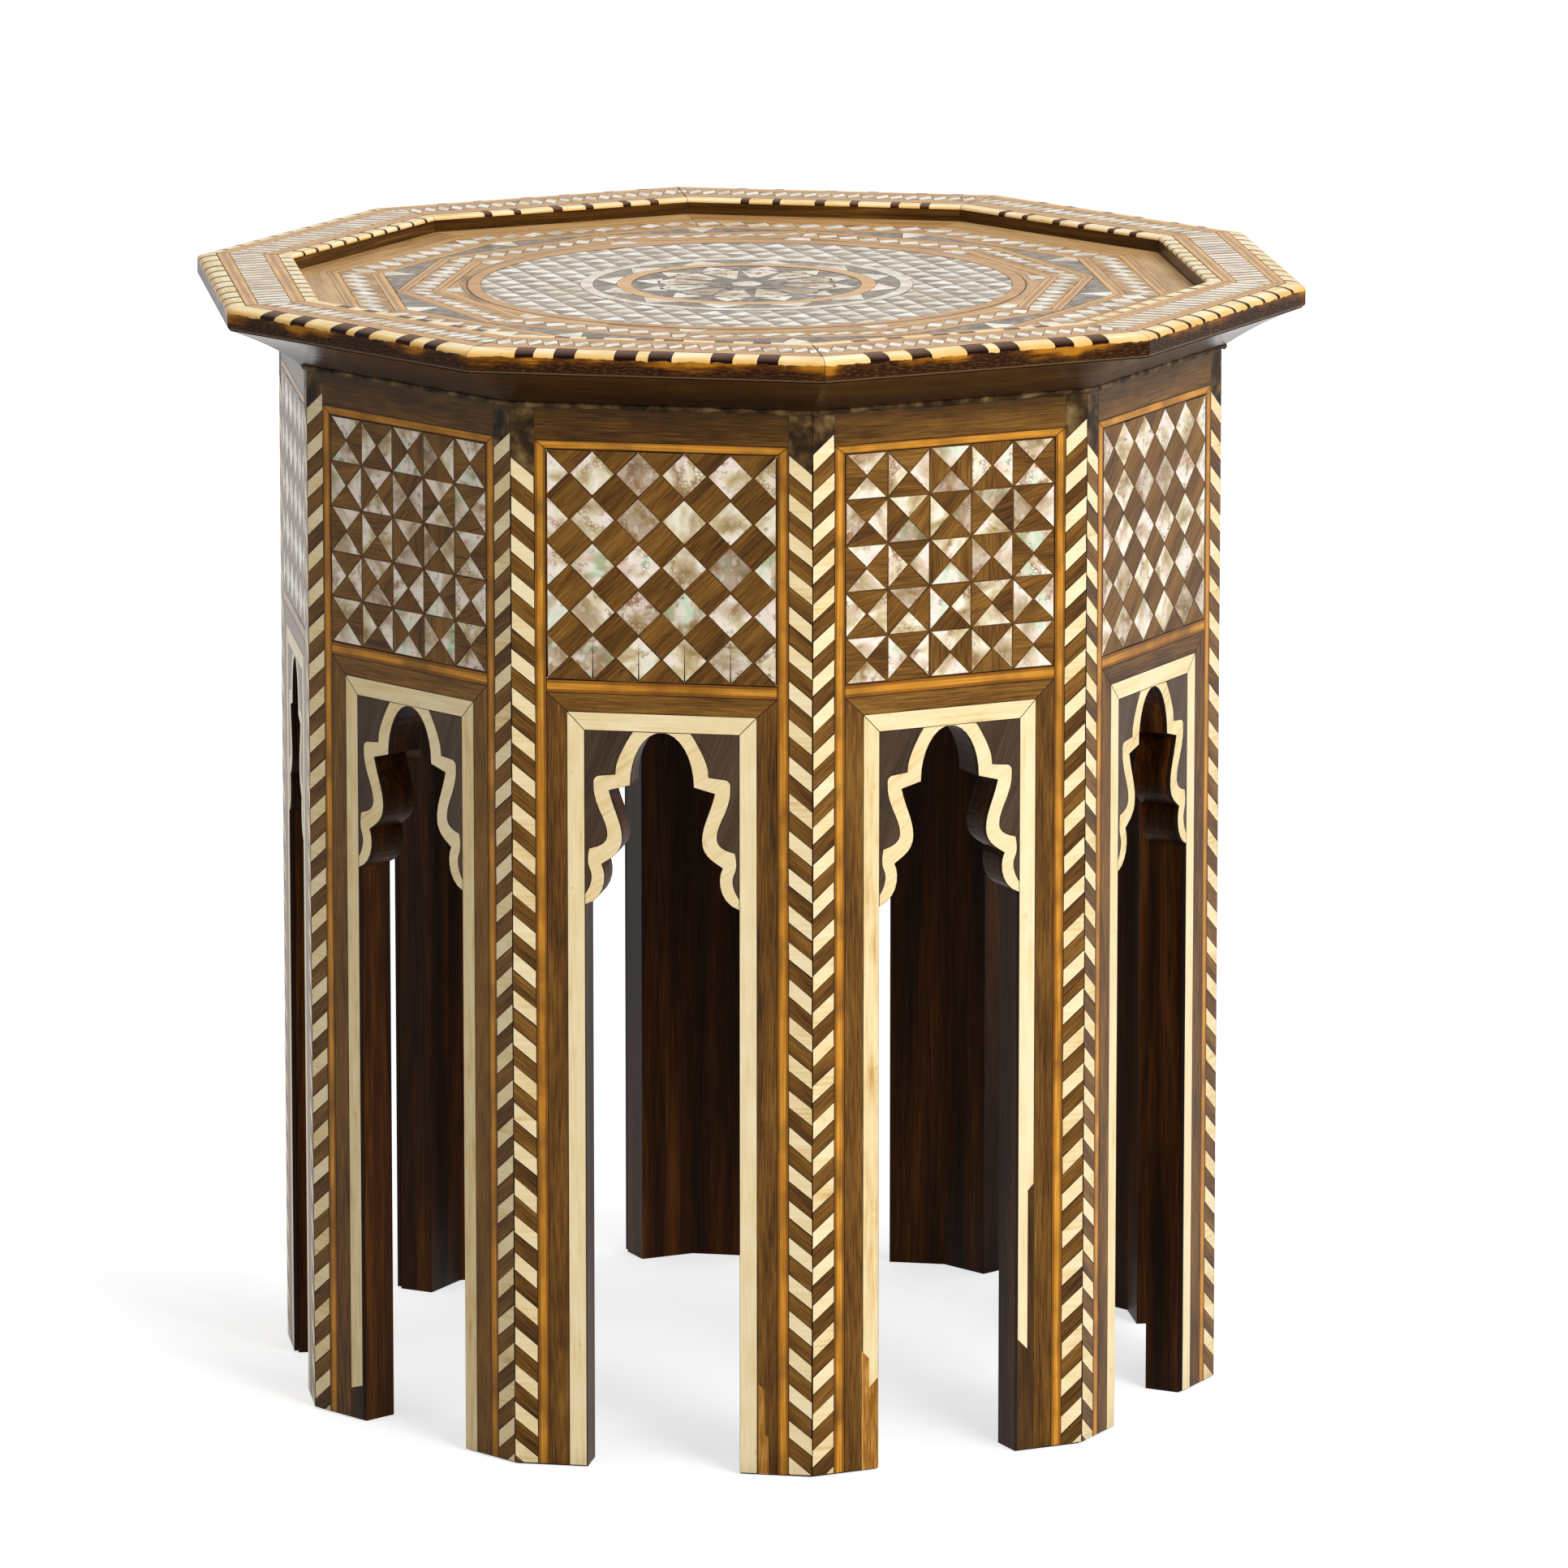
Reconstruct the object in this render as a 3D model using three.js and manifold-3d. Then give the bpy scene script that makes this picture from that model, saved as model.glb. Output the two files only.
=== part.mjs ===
// A ten-sided inlaid side table with a raised rim round its tray top. Millimetres, +Z up.
// The origin is on the floor under the middle of the table, and the first side faces -Y.
import * as THREE from "three";
import { mergeVertices } from "three/addons/utils/BufferGeometryUtils.js";
import Module from "manifold-3d";

const wasm = await Module();
wasm.setup();

// The whole table
const sideCount = 10;
const tableHeight = 552;
const baseRadius = 236; // from the middle of the floor to an outer corner of a leg
const topOverhang = 41; // how far the rim's corners reach past the corners of the sides

// Clearances
const glueGap = 0.3; // between pieces that are glued together
const overrun = 5; // how far a cutting shape runs past what it cuts

// Side boards and the marquetry sheets on their faces
const boardThickness = 18;
const sheetThickness = 2;
const sheetFootGap = 1; // the sheet stops this far above the floor
const herringboneWidth = 11.5; // the slanted strip along each upright edge
const stringWidth = 5.6; // the orange line beside it

// The arched opening of each side, with its lobed head
const openingWidth = 75;
const archHeadHeight = 85; // from the crown down to where the lobes run out into the jambs
const domeSteps = 8;
const curlSteps = 7;

// The mosaic window above each arch, and the plain rails over and under it
const topRailHeight = 22.3;
const mosaicHeight = 111.5;
const archRailHeight = 24.2;

// The tray top
const trayDepth = 8;
const trayFieldThickness = 1.5;
const trayBoardThickness = 10;
const trayFieldWidth = 80; // between the medallion and the wall of the rim
const medallionSteps = 72;
const rimLap = 7; // how far the rim laps the tray board, inside the faces of the sides
const rimEdgeHeight = 11.5;
const rimOuterRound = 3.5;
const rimUnderRound = 1.5;
const rimInnerRound = 1.5;
const roundSteps = 4;

// The bevelled moulding between the rim and the side boards
const mouldingHeight = 19.2;
const mouldingSetback = 1.2; // from the edge of the rim
const mouldingFootWidth = 1.8;
const mouldingHollow = 1.4; // how deep its face is hollowed
const mouldingSteps = 6;

// The glue blocks in the inner corners, under the tray board
const glueBlockCount = 5;
const glueBlockLeg = 30;
const glueBlockDepth = 12;
const glueBlockHeight = 60;

// Places worked out from the sizes above
const halfAngle = Math.PI / sideCount;
const apothem = (radius) => radius * Math.cos(halfAngle);
const baseApothem = apothem(baseRadius);
const topApothem = apothem(baseRadius + topOverhang);
const boardFace = baseApothem - sheetThickness - glueGap;
const boardBack = boardFace - boardThickness;
const trayFloor = tableHeight - trayDepth;
const trayBoardTop = trayFloor - trayFieldThickness;
const trayBoardUnderside = trayBoardTop - trayBoardThickness;
const sideTop = trayBoardUnderside - glueGap;
const rimInnerApothem = baseApothem - rimLap;
const medallionRadius = rimInnerApothem - trayFieldWidth;
const rimUnderside = tableHeight - rimEdgeHeight;
const mouldingTop = rimUnderside - glueGap;
const mouldingFoot = mouldingTop - mouldingHeight;
const mosaicHalf = baseRadius * Math.sin(halfAngle) - herringboneWidth - stringWidth;
const mosaicHead = mouldingFoot - topRailHeight;
const mosaicFoot = mosaicHead - mosaicHeight;
const archCrown = mosaicFoot - archRailHeight;
const archFoot = archCrown - archHeadHeight;

// Finishes
const darkWood = new THREE.MeshStandardMaterial({ color: 0x2c1a10, roughness: 0.45 });
const walnut = new THREE.MeshStandardMaterial({ color: 0x5a3a20, roughness: 0.4 });
const marquetry = new THREE.MeshStandardMaterial({ color: 0xb98a4e, roughness: 0.35 });
const pearl = new THREE.MeshStandardMaterial({ color: 0xc9c3b4, roughness: 0.25 });
const bareWood = new THREE.MeshStandardMaterial({ color: 0x9c7348, roughness: 0.7 });

// A closed geometry becomes a solid that can be cut
function solidOf(geometry) {
  const bare = geometry.clone();
  bare.deleteAttribute("normal");
  bare.deleteAttribute("uv");
  const merged = mergeVertices(bare);
  const mesh = new wasm.Mesh({
    numProp: 3,
    vertProperties: merged.attributes.position.array,
    triVerts: new Uint32Array(merged.index.array),
  });
  return new wasm.Manifold(mesh);
}

// A solid becomes a geometry with flat faces
function geometryOf(solid) {
  const mesh = solid.getMesh();
  const positions = new THREE.BufferAttribute(new Float32Array(mesh.vertProperties), 3);
  const shared = new THREE.BufferGeometry().setAttribute("position", positions);
  shared.setIndex(new THREE.BufferAttribute(new Uint32Array(mesh.triVerts), 1));
  const flat = shared.toNonIndexed();
  flat.computeVertexNormals();
  return flat;
}

// A bar along one side of the table, mitred at both ends to meet its neighbours.
// Its section is drawn as points (distance from the axis, height), and it lies along X, facing -Y.
function mitredBar(section) {
  const bar = new THREE.ExtrudeGeometry(new THREE.Shape(section), { depth: 1, bevelEnabled: false });
  const place = bar.attributes.position;
  for (let i = 0; i < place.count; i += 1) {
    const distance = place.getX(i);
    const height = place.getY(i);
    const end = 1 - 2 * place.getZ(i);
    const halfLength = distance * Math.tan(halfAngle) - glueGap / (2 * Math.cos(halfAngle));
    place.setXYZ(i, end * halfLength, -distance, height);
  }
  bar.computeVertexNormals();
  return bar;
}

// The section of a flat board that stands on edge
function uprightSection(back, face, foot, head) {
  return [
    new THREE.Vector2(back, foot),
    new THREE.Vector2(face, foot),
    new THREE.Vector2(face, head),
    new THREE.Vector2(back, head),
  ];
}

// Points along a quarter turn of a rounded edge, from angle start to angle end
function roundEdge(centreX, centreY, radius, start, end) {
  const arc = new THREE.EllipseCurve(centreX, centreY, radius, radius, start, end, end < start);
  return arc.getPoints(roundSteps);
}

// One half of the opening's head, from the crown down to the jamb, right of the middle line.
// The lobes are placed as shares of the opening's half width and of the head's height.
const domeHalfShare = 0.41;
const domeDropShare = 0.306;
const shoulderShares = [0.683, 0.338];
const waistShares = [0.515, 0.61];
const tipShares = [0.782, 0.762];
const shoulderPullShares = [0.625, 0.45];
const waistPullShares = [0.515, 0.52];
const waistLeaveShares = [0.515, 0.7];
const tipPullShares = [0.68, 0.73];
const curlLeaveShares = [0.71, 0.82];
const curlPullShares = [0.72, 0.96];

function headHalf() {
  const half = openingWidth / 2;
  const at = ([across, down]) => new THREE.Vector2(across * half, archCrown - down * archHeadHeight);
  const domeDrop = domeDropShare * archHeadHeight;
  const domeFoot = archCrown - domeDrop;
  const dome = new THREE.EllipseCurve(0, domeFoot, domeHalfShare * half, domeDrop, Math.PI / 2, 0, true);
  const neck = new THREE.CubicBezierCurve(
    at(shoulderShares), at(shoulderPullShares), at(waistPullShares), at(waistShares));
  const lobe = new THREE.CubicBezierCurve(
    at(waistShares), at(waistLeaveShares), at(tipPullShares), at(tipShares));
  const jamb = new THREE.Vector2(half, archFoot);
  const curl = new THREE.CubicBezierCurve(at(tipShares), at(curlLeaveShares), at(curlPullShares), jamb);
  return [
    ...dome.getPoints(domeSteps),
    ...neck.getPoints(curlSteps),
    ...lobe.getPoints(curlSteps).slice(1),
    ...curl.getPoints(curlSteps).slice(1),
  ];
}

// The shape that cuts the arched opening right through a side, from the floor up
function archCutter() {
  const right = headHalf();
  const left = right.slice(1).reverse().map((point) => new THREE.Vector2(-point.x, point.y));
  const half = openingWidth / 2;
  const outline = [
    new THREE.Vector2(-half, -overrun),
    ...left,
    ...right,
    new THREE.Vector2(half, -overrun),
  ];
  const depth = sheetThickness + boardThickness + glueGap + 2 * overrun;
  const cutter = new THREE.ExtrudeGeometry(new THREE.Shape(outline), { depth, bevelEnabled: false });
  cutter.rotateX(Math.PI / 2);
  cutter.translate(0, -(boardBack - overrun), 0);
  return solidOf(cutter);
}

// The side board: the load-bearing plank with mitred edges, whose two feet are half of two legs
function sideBoard() {
  const plank = solidOf(mitredBar(uprightSection(boardBack, boardFace, 0, sideTop)));
  return geometryOf(plank.subtract(archCutter()));
}

// The window that the mosaic is set into
function mosaicWindow() {
  const depth = sheetThickness + 2 * overrun;
  const box = new THREE.BoxGeometry(2 * mosaicHalf, depth, mosaicHeight);
  box.translate(0, -(baseApothem - sheetThickness / 2), mosaicFoot + mosaicHeight / 2);
  return solidOf(box);
}

// The marquetry sheet on a side board: herringbone edges, orange lines, frame and spandrels in one leaf
function marquetrySheet() {
  const section = uprightSection(baseApothem - sheetThickness, baseApothem, sheetFootGap, sideTop);
  return geometryOf(solidOf(mitredBar(section)).subtract(archCutter()).subtract(mosaicWindow()));
}

// The mosaic panel fills its window with the glue gap all round
function mosaicPanel() {
  const width = 2 * (mosaicHalf - glueGap);
  const height = mosaicHeight - 2 * glueGap;
  const panel = new THREE.BoxGeometry(width, sheetThickness, height);
  panel.translate(0, -(baseApothem - sheetThickness / 2), mosaicFoot + mosaicHeight / 2);
  return panel;
}

// The moulding under the rim: a hollowed bevel from the edge of the rim down to the side's face
function cornicePiece() {
  const back = baseApothem + glueGap;
  const foot = new THREE.Vector2(back + mouldingFootWidth, mouldingFoot);
  const head = new THREE.Vector2(topApothem - mouldingSetback, mouldingTop);
  const slope = head.clone().sub(foot);
  const inward = new THREE.Vector2(-slope.y, slope.x).normalize();
  const face = [];
  for (let i = 0; i <= mouldingSteps; i += 1) {
    const along = i / mouldingSteps;
    const sag = mouldingHollow * Math.sin(Math.PI * along);
    face.push(foot.clone().addScaledVector(slope, along).addScaledVector(inward, sag));
  }
  return mitredBar([new THREE.Vector2(back, mouldingFoot), ...face, new THREE.Vector2(back, mouldingTop)]);
}

// One length of the rim: it stands on the moulding, laps the tray board and ends in the tray's wall
function rimLength() {
  const lapUnderside = trayBoardTop + glueGap;
  const quarter = Math.PI / 2;
  const outerX = topApothem - rimOuterRound;
  const underX = topApothem - rimUnderRound;
  const innerX = rimInnerApothem + rimInnerRound;
  return mitredBar([
    new THREE.Vector2(rimInnerApothem, lapUnderside),
    new THREE.Vector2(baseApothem + glueGap, lapUnderside),
    new THREE.Vector2(baseApothem + glueGap, rimUnderside),
    ...roundEdge(underX, rimUnderside + rimUnderRound, rimUnderRound, -quarter, 0),
    ...roundEdge(outerX, tableHeight - rimOuterRound, rimOuterRound, 0, quarter),
    ...roundEdge(innerX, tableHeight - rimInnerRound, rimInnerRound, quarter, 2 * quarter),
  ]);
}

// A flat ten-sided plate from one height to another, with a round hole if it is given a radius
function tenSidedPlate(radius, underside, top, holeRadius = 0) {
  const outline = [];
  for (let k = 0; k < sideCount; k += 1) {
    const turn = (2 * k + 1) * halfAngle;
    outline.push(new THREE.Vector2(radius * Math.sin(turn), -radius * Math.cos(turn)));
  }
  const shape = new THREE.Shape(outline);
  if (holeRadius > 0) {
    shape.holes.push(new THREE.Path().absarc(0, 0, holeRadius, 0, 2 * Math.PI, true));
  }
  const settings = { depth: top - underside, bevelEnabled: false, curveSegments: medallionSteps };
  return new THREE.ExtrudeGeometry(shape, settings).translate(0, 0, underside);
}

// The round medallion in the middle of the tray
function medallionDisc() {
  const disc = new THREE.CylinderGeometry(
    medallionRadius, medallionRadius, trayFieldThickness, medallionSteps);
  disc.rotateX(Math.PI / 2);
  return disc.translate(0, 0, trayBoardTop + trayFieldThickness / 2);
}

// A glue block fills the inner corner between two side boards, under the tray board
function glueBlock() {
  const tip = (boardBack - glueGap) / Math.cos(halfAngle);
  const reach = glueBlockLeg * Math.cos(halfAngle);
  const shoulder = tip - glueBlockLeg * Math.sin(halfAngle);
  const back = shoulder - glueBlockDepth;
  const outline = new THREE.Shape([
    new THREE.Vector2(0, -tip),
    new THREE.Vector2(reach, -shoulder),
    new THREE.Vector2(reach, -back),
    new THREE.Vector2(-reach, -back),
    new THREE.Vector2(-reach, -shoulder),
  ]);
  const block = new THREE.ExtrudeGeometry(outline, { depth: glueBlockHeight, bevelEnabled: false });
  return block.translate(0, 0, sideTop - glueBlockHeight);
}

function addPiece(parent, name, geometry, material) {
  const piece = new THREE.Mesh(geometry, material);
  piece.name = name;
  parent.add(piece);
}

const table = new THREE.Group();

// The ten sides, each a turned group with its five pieces
const sidePieces = [
  ["side_board", sideBoard(), darkWood],
  ["marquetry_sheet", marquetrySheet(), marquetry],
  ["mosaic_panel", mosaicPanel(), pearl],
  ["cornice_moulding", cornicePiece(), walnut],
  ["rim_length", rimLength(), marquetry],
];
for (let k = 0; k < sideCount; k += 1) {
  const side = new THREE.Group();
  side.rotation.z = 2 * k * halfAngle;
  for (const [kind, geometry, material] of sidePieces) {
    addPiece(side, kind + "_" + String(k + 1).padStart(2, "0"), geometry, material);
  }
  table.add(side);
}

// The tray: its board, the marquetry field on it and the medallion let into the field
const trayRadius = (rimInnerApothem - glueGap) / Math.cos(halfAngle);
addPiece(table, "tray_board", tenSidedPlate(baseRadius, trayBoardUnderside, trayBoardTop), bareWood);
const field = tenSidedPlate(trayRadius, trayBoardTop, trayFloor, medallionRadius + glueGap);
addPiece(table, "tray_field", field, marquetry);
addPiece(table, "tray_medallion", medallionDisc(), pearl);

// The glue blocks, at every other corner
for (let k = 0; k < glueBlockCount; k += 1) {
  const corner = new THREE.Group();
  corner.rotation.z = halfAngle + (2 * Math.PI * k) / glueBlockCount;
  addPiece(corner, "glue_block_" + (k + 1), glueBlock(), bareWood);
  table.add(corner);
}

export default table;
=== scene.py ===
# %% [markdown]
# # An inlaid ten-sided table
# The table is a drum of ten boards, each sawn out to an arch, with a tray on top. All that
# shows is veneer and inlay: walnut, lemon wood, orange dyed lines, ebony and mother-of-pearl.
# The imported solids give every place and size. The boards and mouldings keep their solids and
# get a finish, and the inlaid leaves are modelled again piece by piece, flush with the solids.

import math

import bmesh
import bpy
import numpy as np
from mathutils import Matrix, Vector


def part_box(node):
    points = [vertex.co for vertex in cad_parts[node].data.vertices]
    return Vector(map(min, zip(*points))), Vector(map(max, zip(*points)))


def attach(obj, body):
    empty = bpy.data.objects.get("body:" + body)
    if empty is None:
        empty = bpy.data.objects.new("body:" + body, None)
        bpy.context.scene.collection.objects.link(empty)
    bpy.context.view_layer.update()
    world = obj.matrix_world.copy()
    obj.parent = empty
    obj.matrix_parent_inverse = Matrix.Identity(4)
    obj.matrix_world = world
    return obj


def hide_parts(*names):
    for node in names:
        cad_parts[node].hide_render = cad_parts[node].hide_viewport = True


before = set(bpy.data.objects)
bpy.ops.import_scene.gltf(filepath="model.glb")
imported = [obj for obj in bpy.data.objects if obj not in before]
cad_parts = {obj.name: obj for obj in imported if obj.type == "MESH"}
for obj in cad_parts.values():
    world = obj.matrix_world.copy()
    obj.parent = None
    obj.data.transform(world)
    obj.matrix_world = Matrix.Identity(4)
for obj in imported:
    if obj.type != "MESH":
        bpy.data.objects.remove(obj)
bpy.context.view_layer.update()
mm = 0.001

# %% [markdown]
# ## Places that everything hangs on
# The first side faces -Y. Its leaf is drawn upright in the plane of that face, with x across
# and z up, and is turned round the table later. The sizes are read from the solids, so the
# inlay stays in register with them.

# %% Measure the first side, the rim and the tray
side_count = 10
half_angle = math.pi / side_count
leaf_low, leaf_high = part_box("marquetry_sheet_01")
panel_low, panel_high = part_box("mosaic_panel_01")
rim_low, rim_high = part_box("rim_length_01")
leaf_depth = leaf_high.y - leaf_low.y
half_width = leaf_high.x
tray_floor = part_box("tray_field")[1].z
glue_gap = 0.3 * mm  # between two neighbouring solids
groove = 0.1 * mm  # how far the glue lies under the veneer
joint = 0.2 * mm
thin_joint = 0.08 * mm
merge_gap = 0.02 * mm  # two corners nearer than this are one
print("half width", half_width / mm, "leaf depth", leaf_depth / mm, "tray floor", tray_floor / mm)

# %% [markdown]
# ## Colours and nodes
# Wood and pearl are described by colours, written as sRGB hex and turned to
# linear values here. One helper adds a shader node, sets its values and joins its inputs.

# %% Helpers for finishes
def linear(hex_colour):
    channels = [int(hex_colour[i:i + 2], 16) / 255 for i in (1, 3, 5)]
    curve = [c / 12.92 if c <= 0.04045 else ((c + 0.055) / 1.055) ** 2.4 for c in channels]
    return (*curve, 1.0)


def add_node(material, kind, inputs=None, stops=None, **settings):
    """Add a node: settings go on the node, inputs on its sockets, stops on its colour ramp."""
    node = material.node_tree.nodes.new("ShaderNode" + kind)
    for name, value in settings.items():
        setattr(node, name, value)
    for name, value in (inputs or {}).items():
        if isinstance(value, bpy.types.NodeSocket):
            material.node_tree.links.new(value, node.inputs[name])
        else:
            node.inputs[name].default_value = value
    for i, (position, colour) in enumerate(stops or []):
        elements = node.color_ramp.elements
        element = elements[i] if i < 2 else elements.new(position)
        element.position = position
        element.color = linear(colour)
    return node


def new_finish(name):
    material = bpy.data.materials.new(name)
    material.use_nodes = True
    material.node_tree.nodes.clear()
    return material


def finish_surface(material, inputs):
    surface = add_node(material, "BsdfPrincipled", {"Specular IOR Level": 0.12, **inputs})
    add_node(material, "OutputMaterial", {"Surface": surface.outputs["BSDF"]})
    return material

# %% [markdown]
# Three things come back in nearly every finish: a tint laid over the colour where some value
# passes from low to high, soft patches that pay no heed to where one piece of wood ends, as
# wear and dirt do, and a noise drawn out along the grain.

# %% A tint over a colour, patches of wear, and a noise drawn out along the grain
def lay_tint(material, value, limits, below, above, most=1.0, blend="MIX"):
    """Lay one colour over another, more and more as a value goes from the first limit to the second."""
    share = add_node(material, "MapRange", {"Value": value, "From Min": limits[0], "From Max": limits[1],
                                            "To Max": most}).outputs["Result"]
    above = linear(above) if isinstance(above, str) else above
    return add_node(material, "Mix", {"Factor": share, 6: below, 7: above}, data_type="RGBA",
                    blend_type=blend).outputs[2]


def patches(material, size, detail):
    """Soft patches of about this size in millimetres, laid out in the space of the table."""
    spot = add_node(material, "TexCoord").outputs["Object"]
    return add_node(material, "TexNoise", {"Vector": spot, "Scale": 1 / (size * mm),
                                           "Detail": detail}).outputs["Fac"]


def drawn_out_noise(material, place, lengths, detail, number=None, distortion=0.0):
    """A noise with patches of these lengths in millimetres. A number picks another part of it."""
    scale = [1 / (length * mm) for length in lengths] + [1.0] * (3 - len(lengths))
    spot = add_node(material, "Mapping", {"Vector": place, "Scale": scale}).outputs["Vector"]
    inputs = {"Vector": spot, "Scale": 1.0, "Detail": detail, "Distortion": distortion}
    if number is None:
        return add_node(material, "TexNoise", inputs).outputs["Fac"]
    return add_node(material, "TexNoise", {**inputs, "W": number}, noise_dimensions="4D").outputs["Fac"]

# %% [markdown]
# ## Inlay woods
# Each inlaid piece is sawn from veneer, so its grain runs its own way. A UV map called grain
# carries that: u runs along the grain and v across it, in metres from the middle of the piece.
# A second attribute, tone, gives every piece its own random number. It picks a place in the
# noise, so no two pieces share a figure, and shifts the shade a little. The veneer was scraped
# and French polished: smooth, with fine pores and a soft shine.

# %% A veneer finish from its shades and its grain sizes
pore_size = (5, 0.45)
# Where the veneer darkens: painted shade and dirt under the moulding, dirt at the feet
grime_heights = (((502 * mm, 522 * mm), 18 * mm), ((9 * mm, -8 * mm), 20 * mm))


def veneer_colour(wood, shades, grain=(28, 0.8), figure=(60, 7), spread=0.25, pores=0.35, grime=0.0,
                  stains=0.0):
    """Grain, figure and pores of one veneer, as a colour and a bump. Painted shade and dirt darken its top
    end, dirt its foot.
    """
    uv = add_node(wood, "UVMap", uv_map="grain").outputs["UV"]
    tone = add_node(wood, "Attribute", attribute_name="tone").outputs["Fac"]
    place = add_node(wood, "Math", {0: tone, 1: 43.0}, operation="MULTIPLY").outputs["Value"]
    layers = [drawn_out_noise(wood, uv, sizes, 3.0, place) for sizes in (grain, figure, pore_size)]
    streaks = add_node(wood, "Math", {0: layers[0], 1: 0.75, 2: -0.175}, operation="MULTIPLY_ADD")
    body = add_node(wood, "Math", {0: layers[1], 1: 0.6, 2: streaks.outputs["Value"]},
                    operation="MULTIPLY_ADD")
    shift = add_node(wood, "Math", {0: tone, 1: spread, 2: -spread / 2}, operation="MULTIPLY_ADD")
    shade = add_node(wood, "Math", {0: body.outputs["Value"], 1: shift.outputs["Value"]}).outputs["Value"]
    colour = add_node(wood, "ValToRGB", {"Fac": shade}, stops=shades).outputs["Color"]
    pore = add_node(wood, "ValToRGB", {"Fac": layers[2]}, stops=[(0.30, "#000000"), (0.42, "#ffffff")])
    darker = add_node(wood, "Mix", {"Factor": pores, 6: colour, 7: pore.outputs["Color"]},
                      data_type="RGBA", blend_type="MULTIPLY").outputs[2]
    if stains:
        darker = lay_tint(wood, patches(wood, 8, 3.0), (0.67, 0.82), darker, "#bd8038", stains)
    # Painted shade with dirt under the moulding, and dirt at the feet
    if grime:
        spot = add_node(wood, "TexCoord").outputs["Object"]
        height = add_node(wood, "SeparateXYZ", {"Vector": spot}).outputs["Z"]
        patchy = patches(wood, 14, 4.0)
        for ends, span in grime_heights:
            edge = add_node(wood, "Math", {0: patchy, 1: span, 2: height}, operation="MULTIPLY_ADD")
            limits = [end + span / 2 for end in ends]
            darker = lay_tint(wood, edge.outputs["Value"], limits, darker, "#281804", grime)
    bump = add_node(wood, "Bump", {"Height": layers[2], "Strength": 0.12, "Distance": 0.1 * mm})
    return darker, bump.outputs["Normal"]


def veneer(name, shades, roughness=0.32, **sizes):
    wood = new_finish(name)
    colour, normal = veneer_colour(wood, shades, **sizes)
    return finish_surface(wood, {"Base Color": colour, "Roughness": roughness, "IOR": 1.5, "Normal": normal})


walnut = veneer("walnut_veneer", [(0.3, "#361f05"), (0.44, "#5b3a10"), (0.56, "#714c1a"), (0.72, "#8c6328")],
                grain=(16, 0.6), figure=(60, 9), spread=0.13, pores=0.5, grime=0.75)
lemon_wood = veneer("lemon_wood_veneer", [(0.1, "#b98b4a"), (0.27, "#dcbd85"), (0.42, "#e8d09d"),
                                          (0.7, "#f1dfb6")],
                    grain=(30, 1.5), figure=(20, 7), spread=0.25, pores=0.05, grime=0.3, stains=0.5)
raw_wood = veneer("raw_amber_wood", [(0.3, "#8a5a1e"), (0.5, "#bd8640"), (0.7, "#d9ab68")], grain=(12, 0.8),
                  figure=(16, 5), roughness=0.6)
bared_wood = veneer("bared_dark_wood", [(0.3, "#1d1006"), (0.5, "#38230e"), (0.75, "#553818")],
                    grain=(20, 0.7), figure=(30, 6), roughness=0.4)
ebony = veneer("ebony_veneer", [(0.2, "#2a1e13"), (0.5, "#463425"), (0.8, "#5c4836")], spread=0.2, pores=0.2)
orange_ring = veneer("orange_ring_wood", [(0.3, "#b07f49"), (0.5, "#c99a62"), (0.7, "#d9b07a")],
                     grain=(30, 1.2), figure=(40, 6), pores=0.1)
tray_walnut = veneer("scraped_walnut_ground", [(0.25, "#7e5a30"), (0.42, "#a57b49"), (0.58, "#bf9661"),
                                               (0.78, "#d3af7d")], grain=(26, 0.8), figure=(60, 8))
print("veneers ready")

# %% [markdown]
# The orange lines are a thin stick of three layers. On the sides a paler core lies between two
# darker strips, and on the top a brown core lies between two orange ones. The v coordinate runs
# across the stick, so its distance from the middle picks the layer. Dark worn patches run
# through the sticks here and there.

# %% Orange line
def orange_line(name, core, edge, half_core, wear):
    wood = new_finish(name)
    uv = add_node(wood, "UVMap", uv_map="grain").outputs["UV"]
    tone = add_node(wood, "Attribute", attribute_name="tone").outputs["Fac"]
    place = add_node(wood, "Math", {0: tone, 1: 31.0}, operation="MULTIPLY").outputs["Value"]
    grain = drawn_out_noise(wood, uv, (35, 0.7), 4.0, place)
    across = add_node(wood, "SeparateXYZ", {"Vector": uv}).outputs["Y"]
    away = add_node(wood, "Math", {0: across}, operation="ABSOLUTE").outputs["Value"]
    inner = add_node(wood, "ValToRGB", {"Fac": grain}, stops=core).outputs["Color"]
    outer = add_node(wood, "ValToRGB", {"Fac": grain}, stops=edge).outputs["Color"]
    colour = lay_tint(wood, away, (half_core - 0.35 * mm, half_core + 0.35 * mm), inner, outer)
    colour = lay_tint(wood, patches(wood, 22, 3.0), (0.42, 0.72), colour, "#4a2c0c", wear)
    bump = add_node(wood, "Bump", {"Height": grain, "Strength": 0.1, "Distance": 0.1 * mm})
    return finish_surface(wood, {"Base Color": colour, "Roughness": 0.3, "IOR": 1.5,
                                 "Normal": bump.outputs["Normal"]})


dyed_line = orange_line("orange_dyed_line", [(0.3, "#a86a1c"), (0.5, "#c78729"), (0.7, "#dba040")],
                        [(0.3, "#70430f"), (0.6, "#9a5f17")], 1.4 * mm, 0.65)
tray_line = orange_line("pale_orange_line", [(0.3, "#8f6b45"), (0.5, "#ab8459"), (0.7, "#c09a6e")],
                        [(0.3, "#c48a40"), (0.5, "#dca456"), (0.7, "#ecbc78")], 1.1 * mm, 0.15)

# %% [markdown]
# ## Mother-of-pearl
# The pearl pieces are sawn from shell. Under the polish they shimmer from silver to pink and
# green, with fine growth lines, and many show brown patches or the tracks of shell worms. The
# growth lines run another way in each piece, so the coordinates are turned by its tone. Dark
# horn, which lies beside the pearl on the tray, is a cut natural plate too and has the same
# kind of clouds, in brown and grey.

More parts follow.
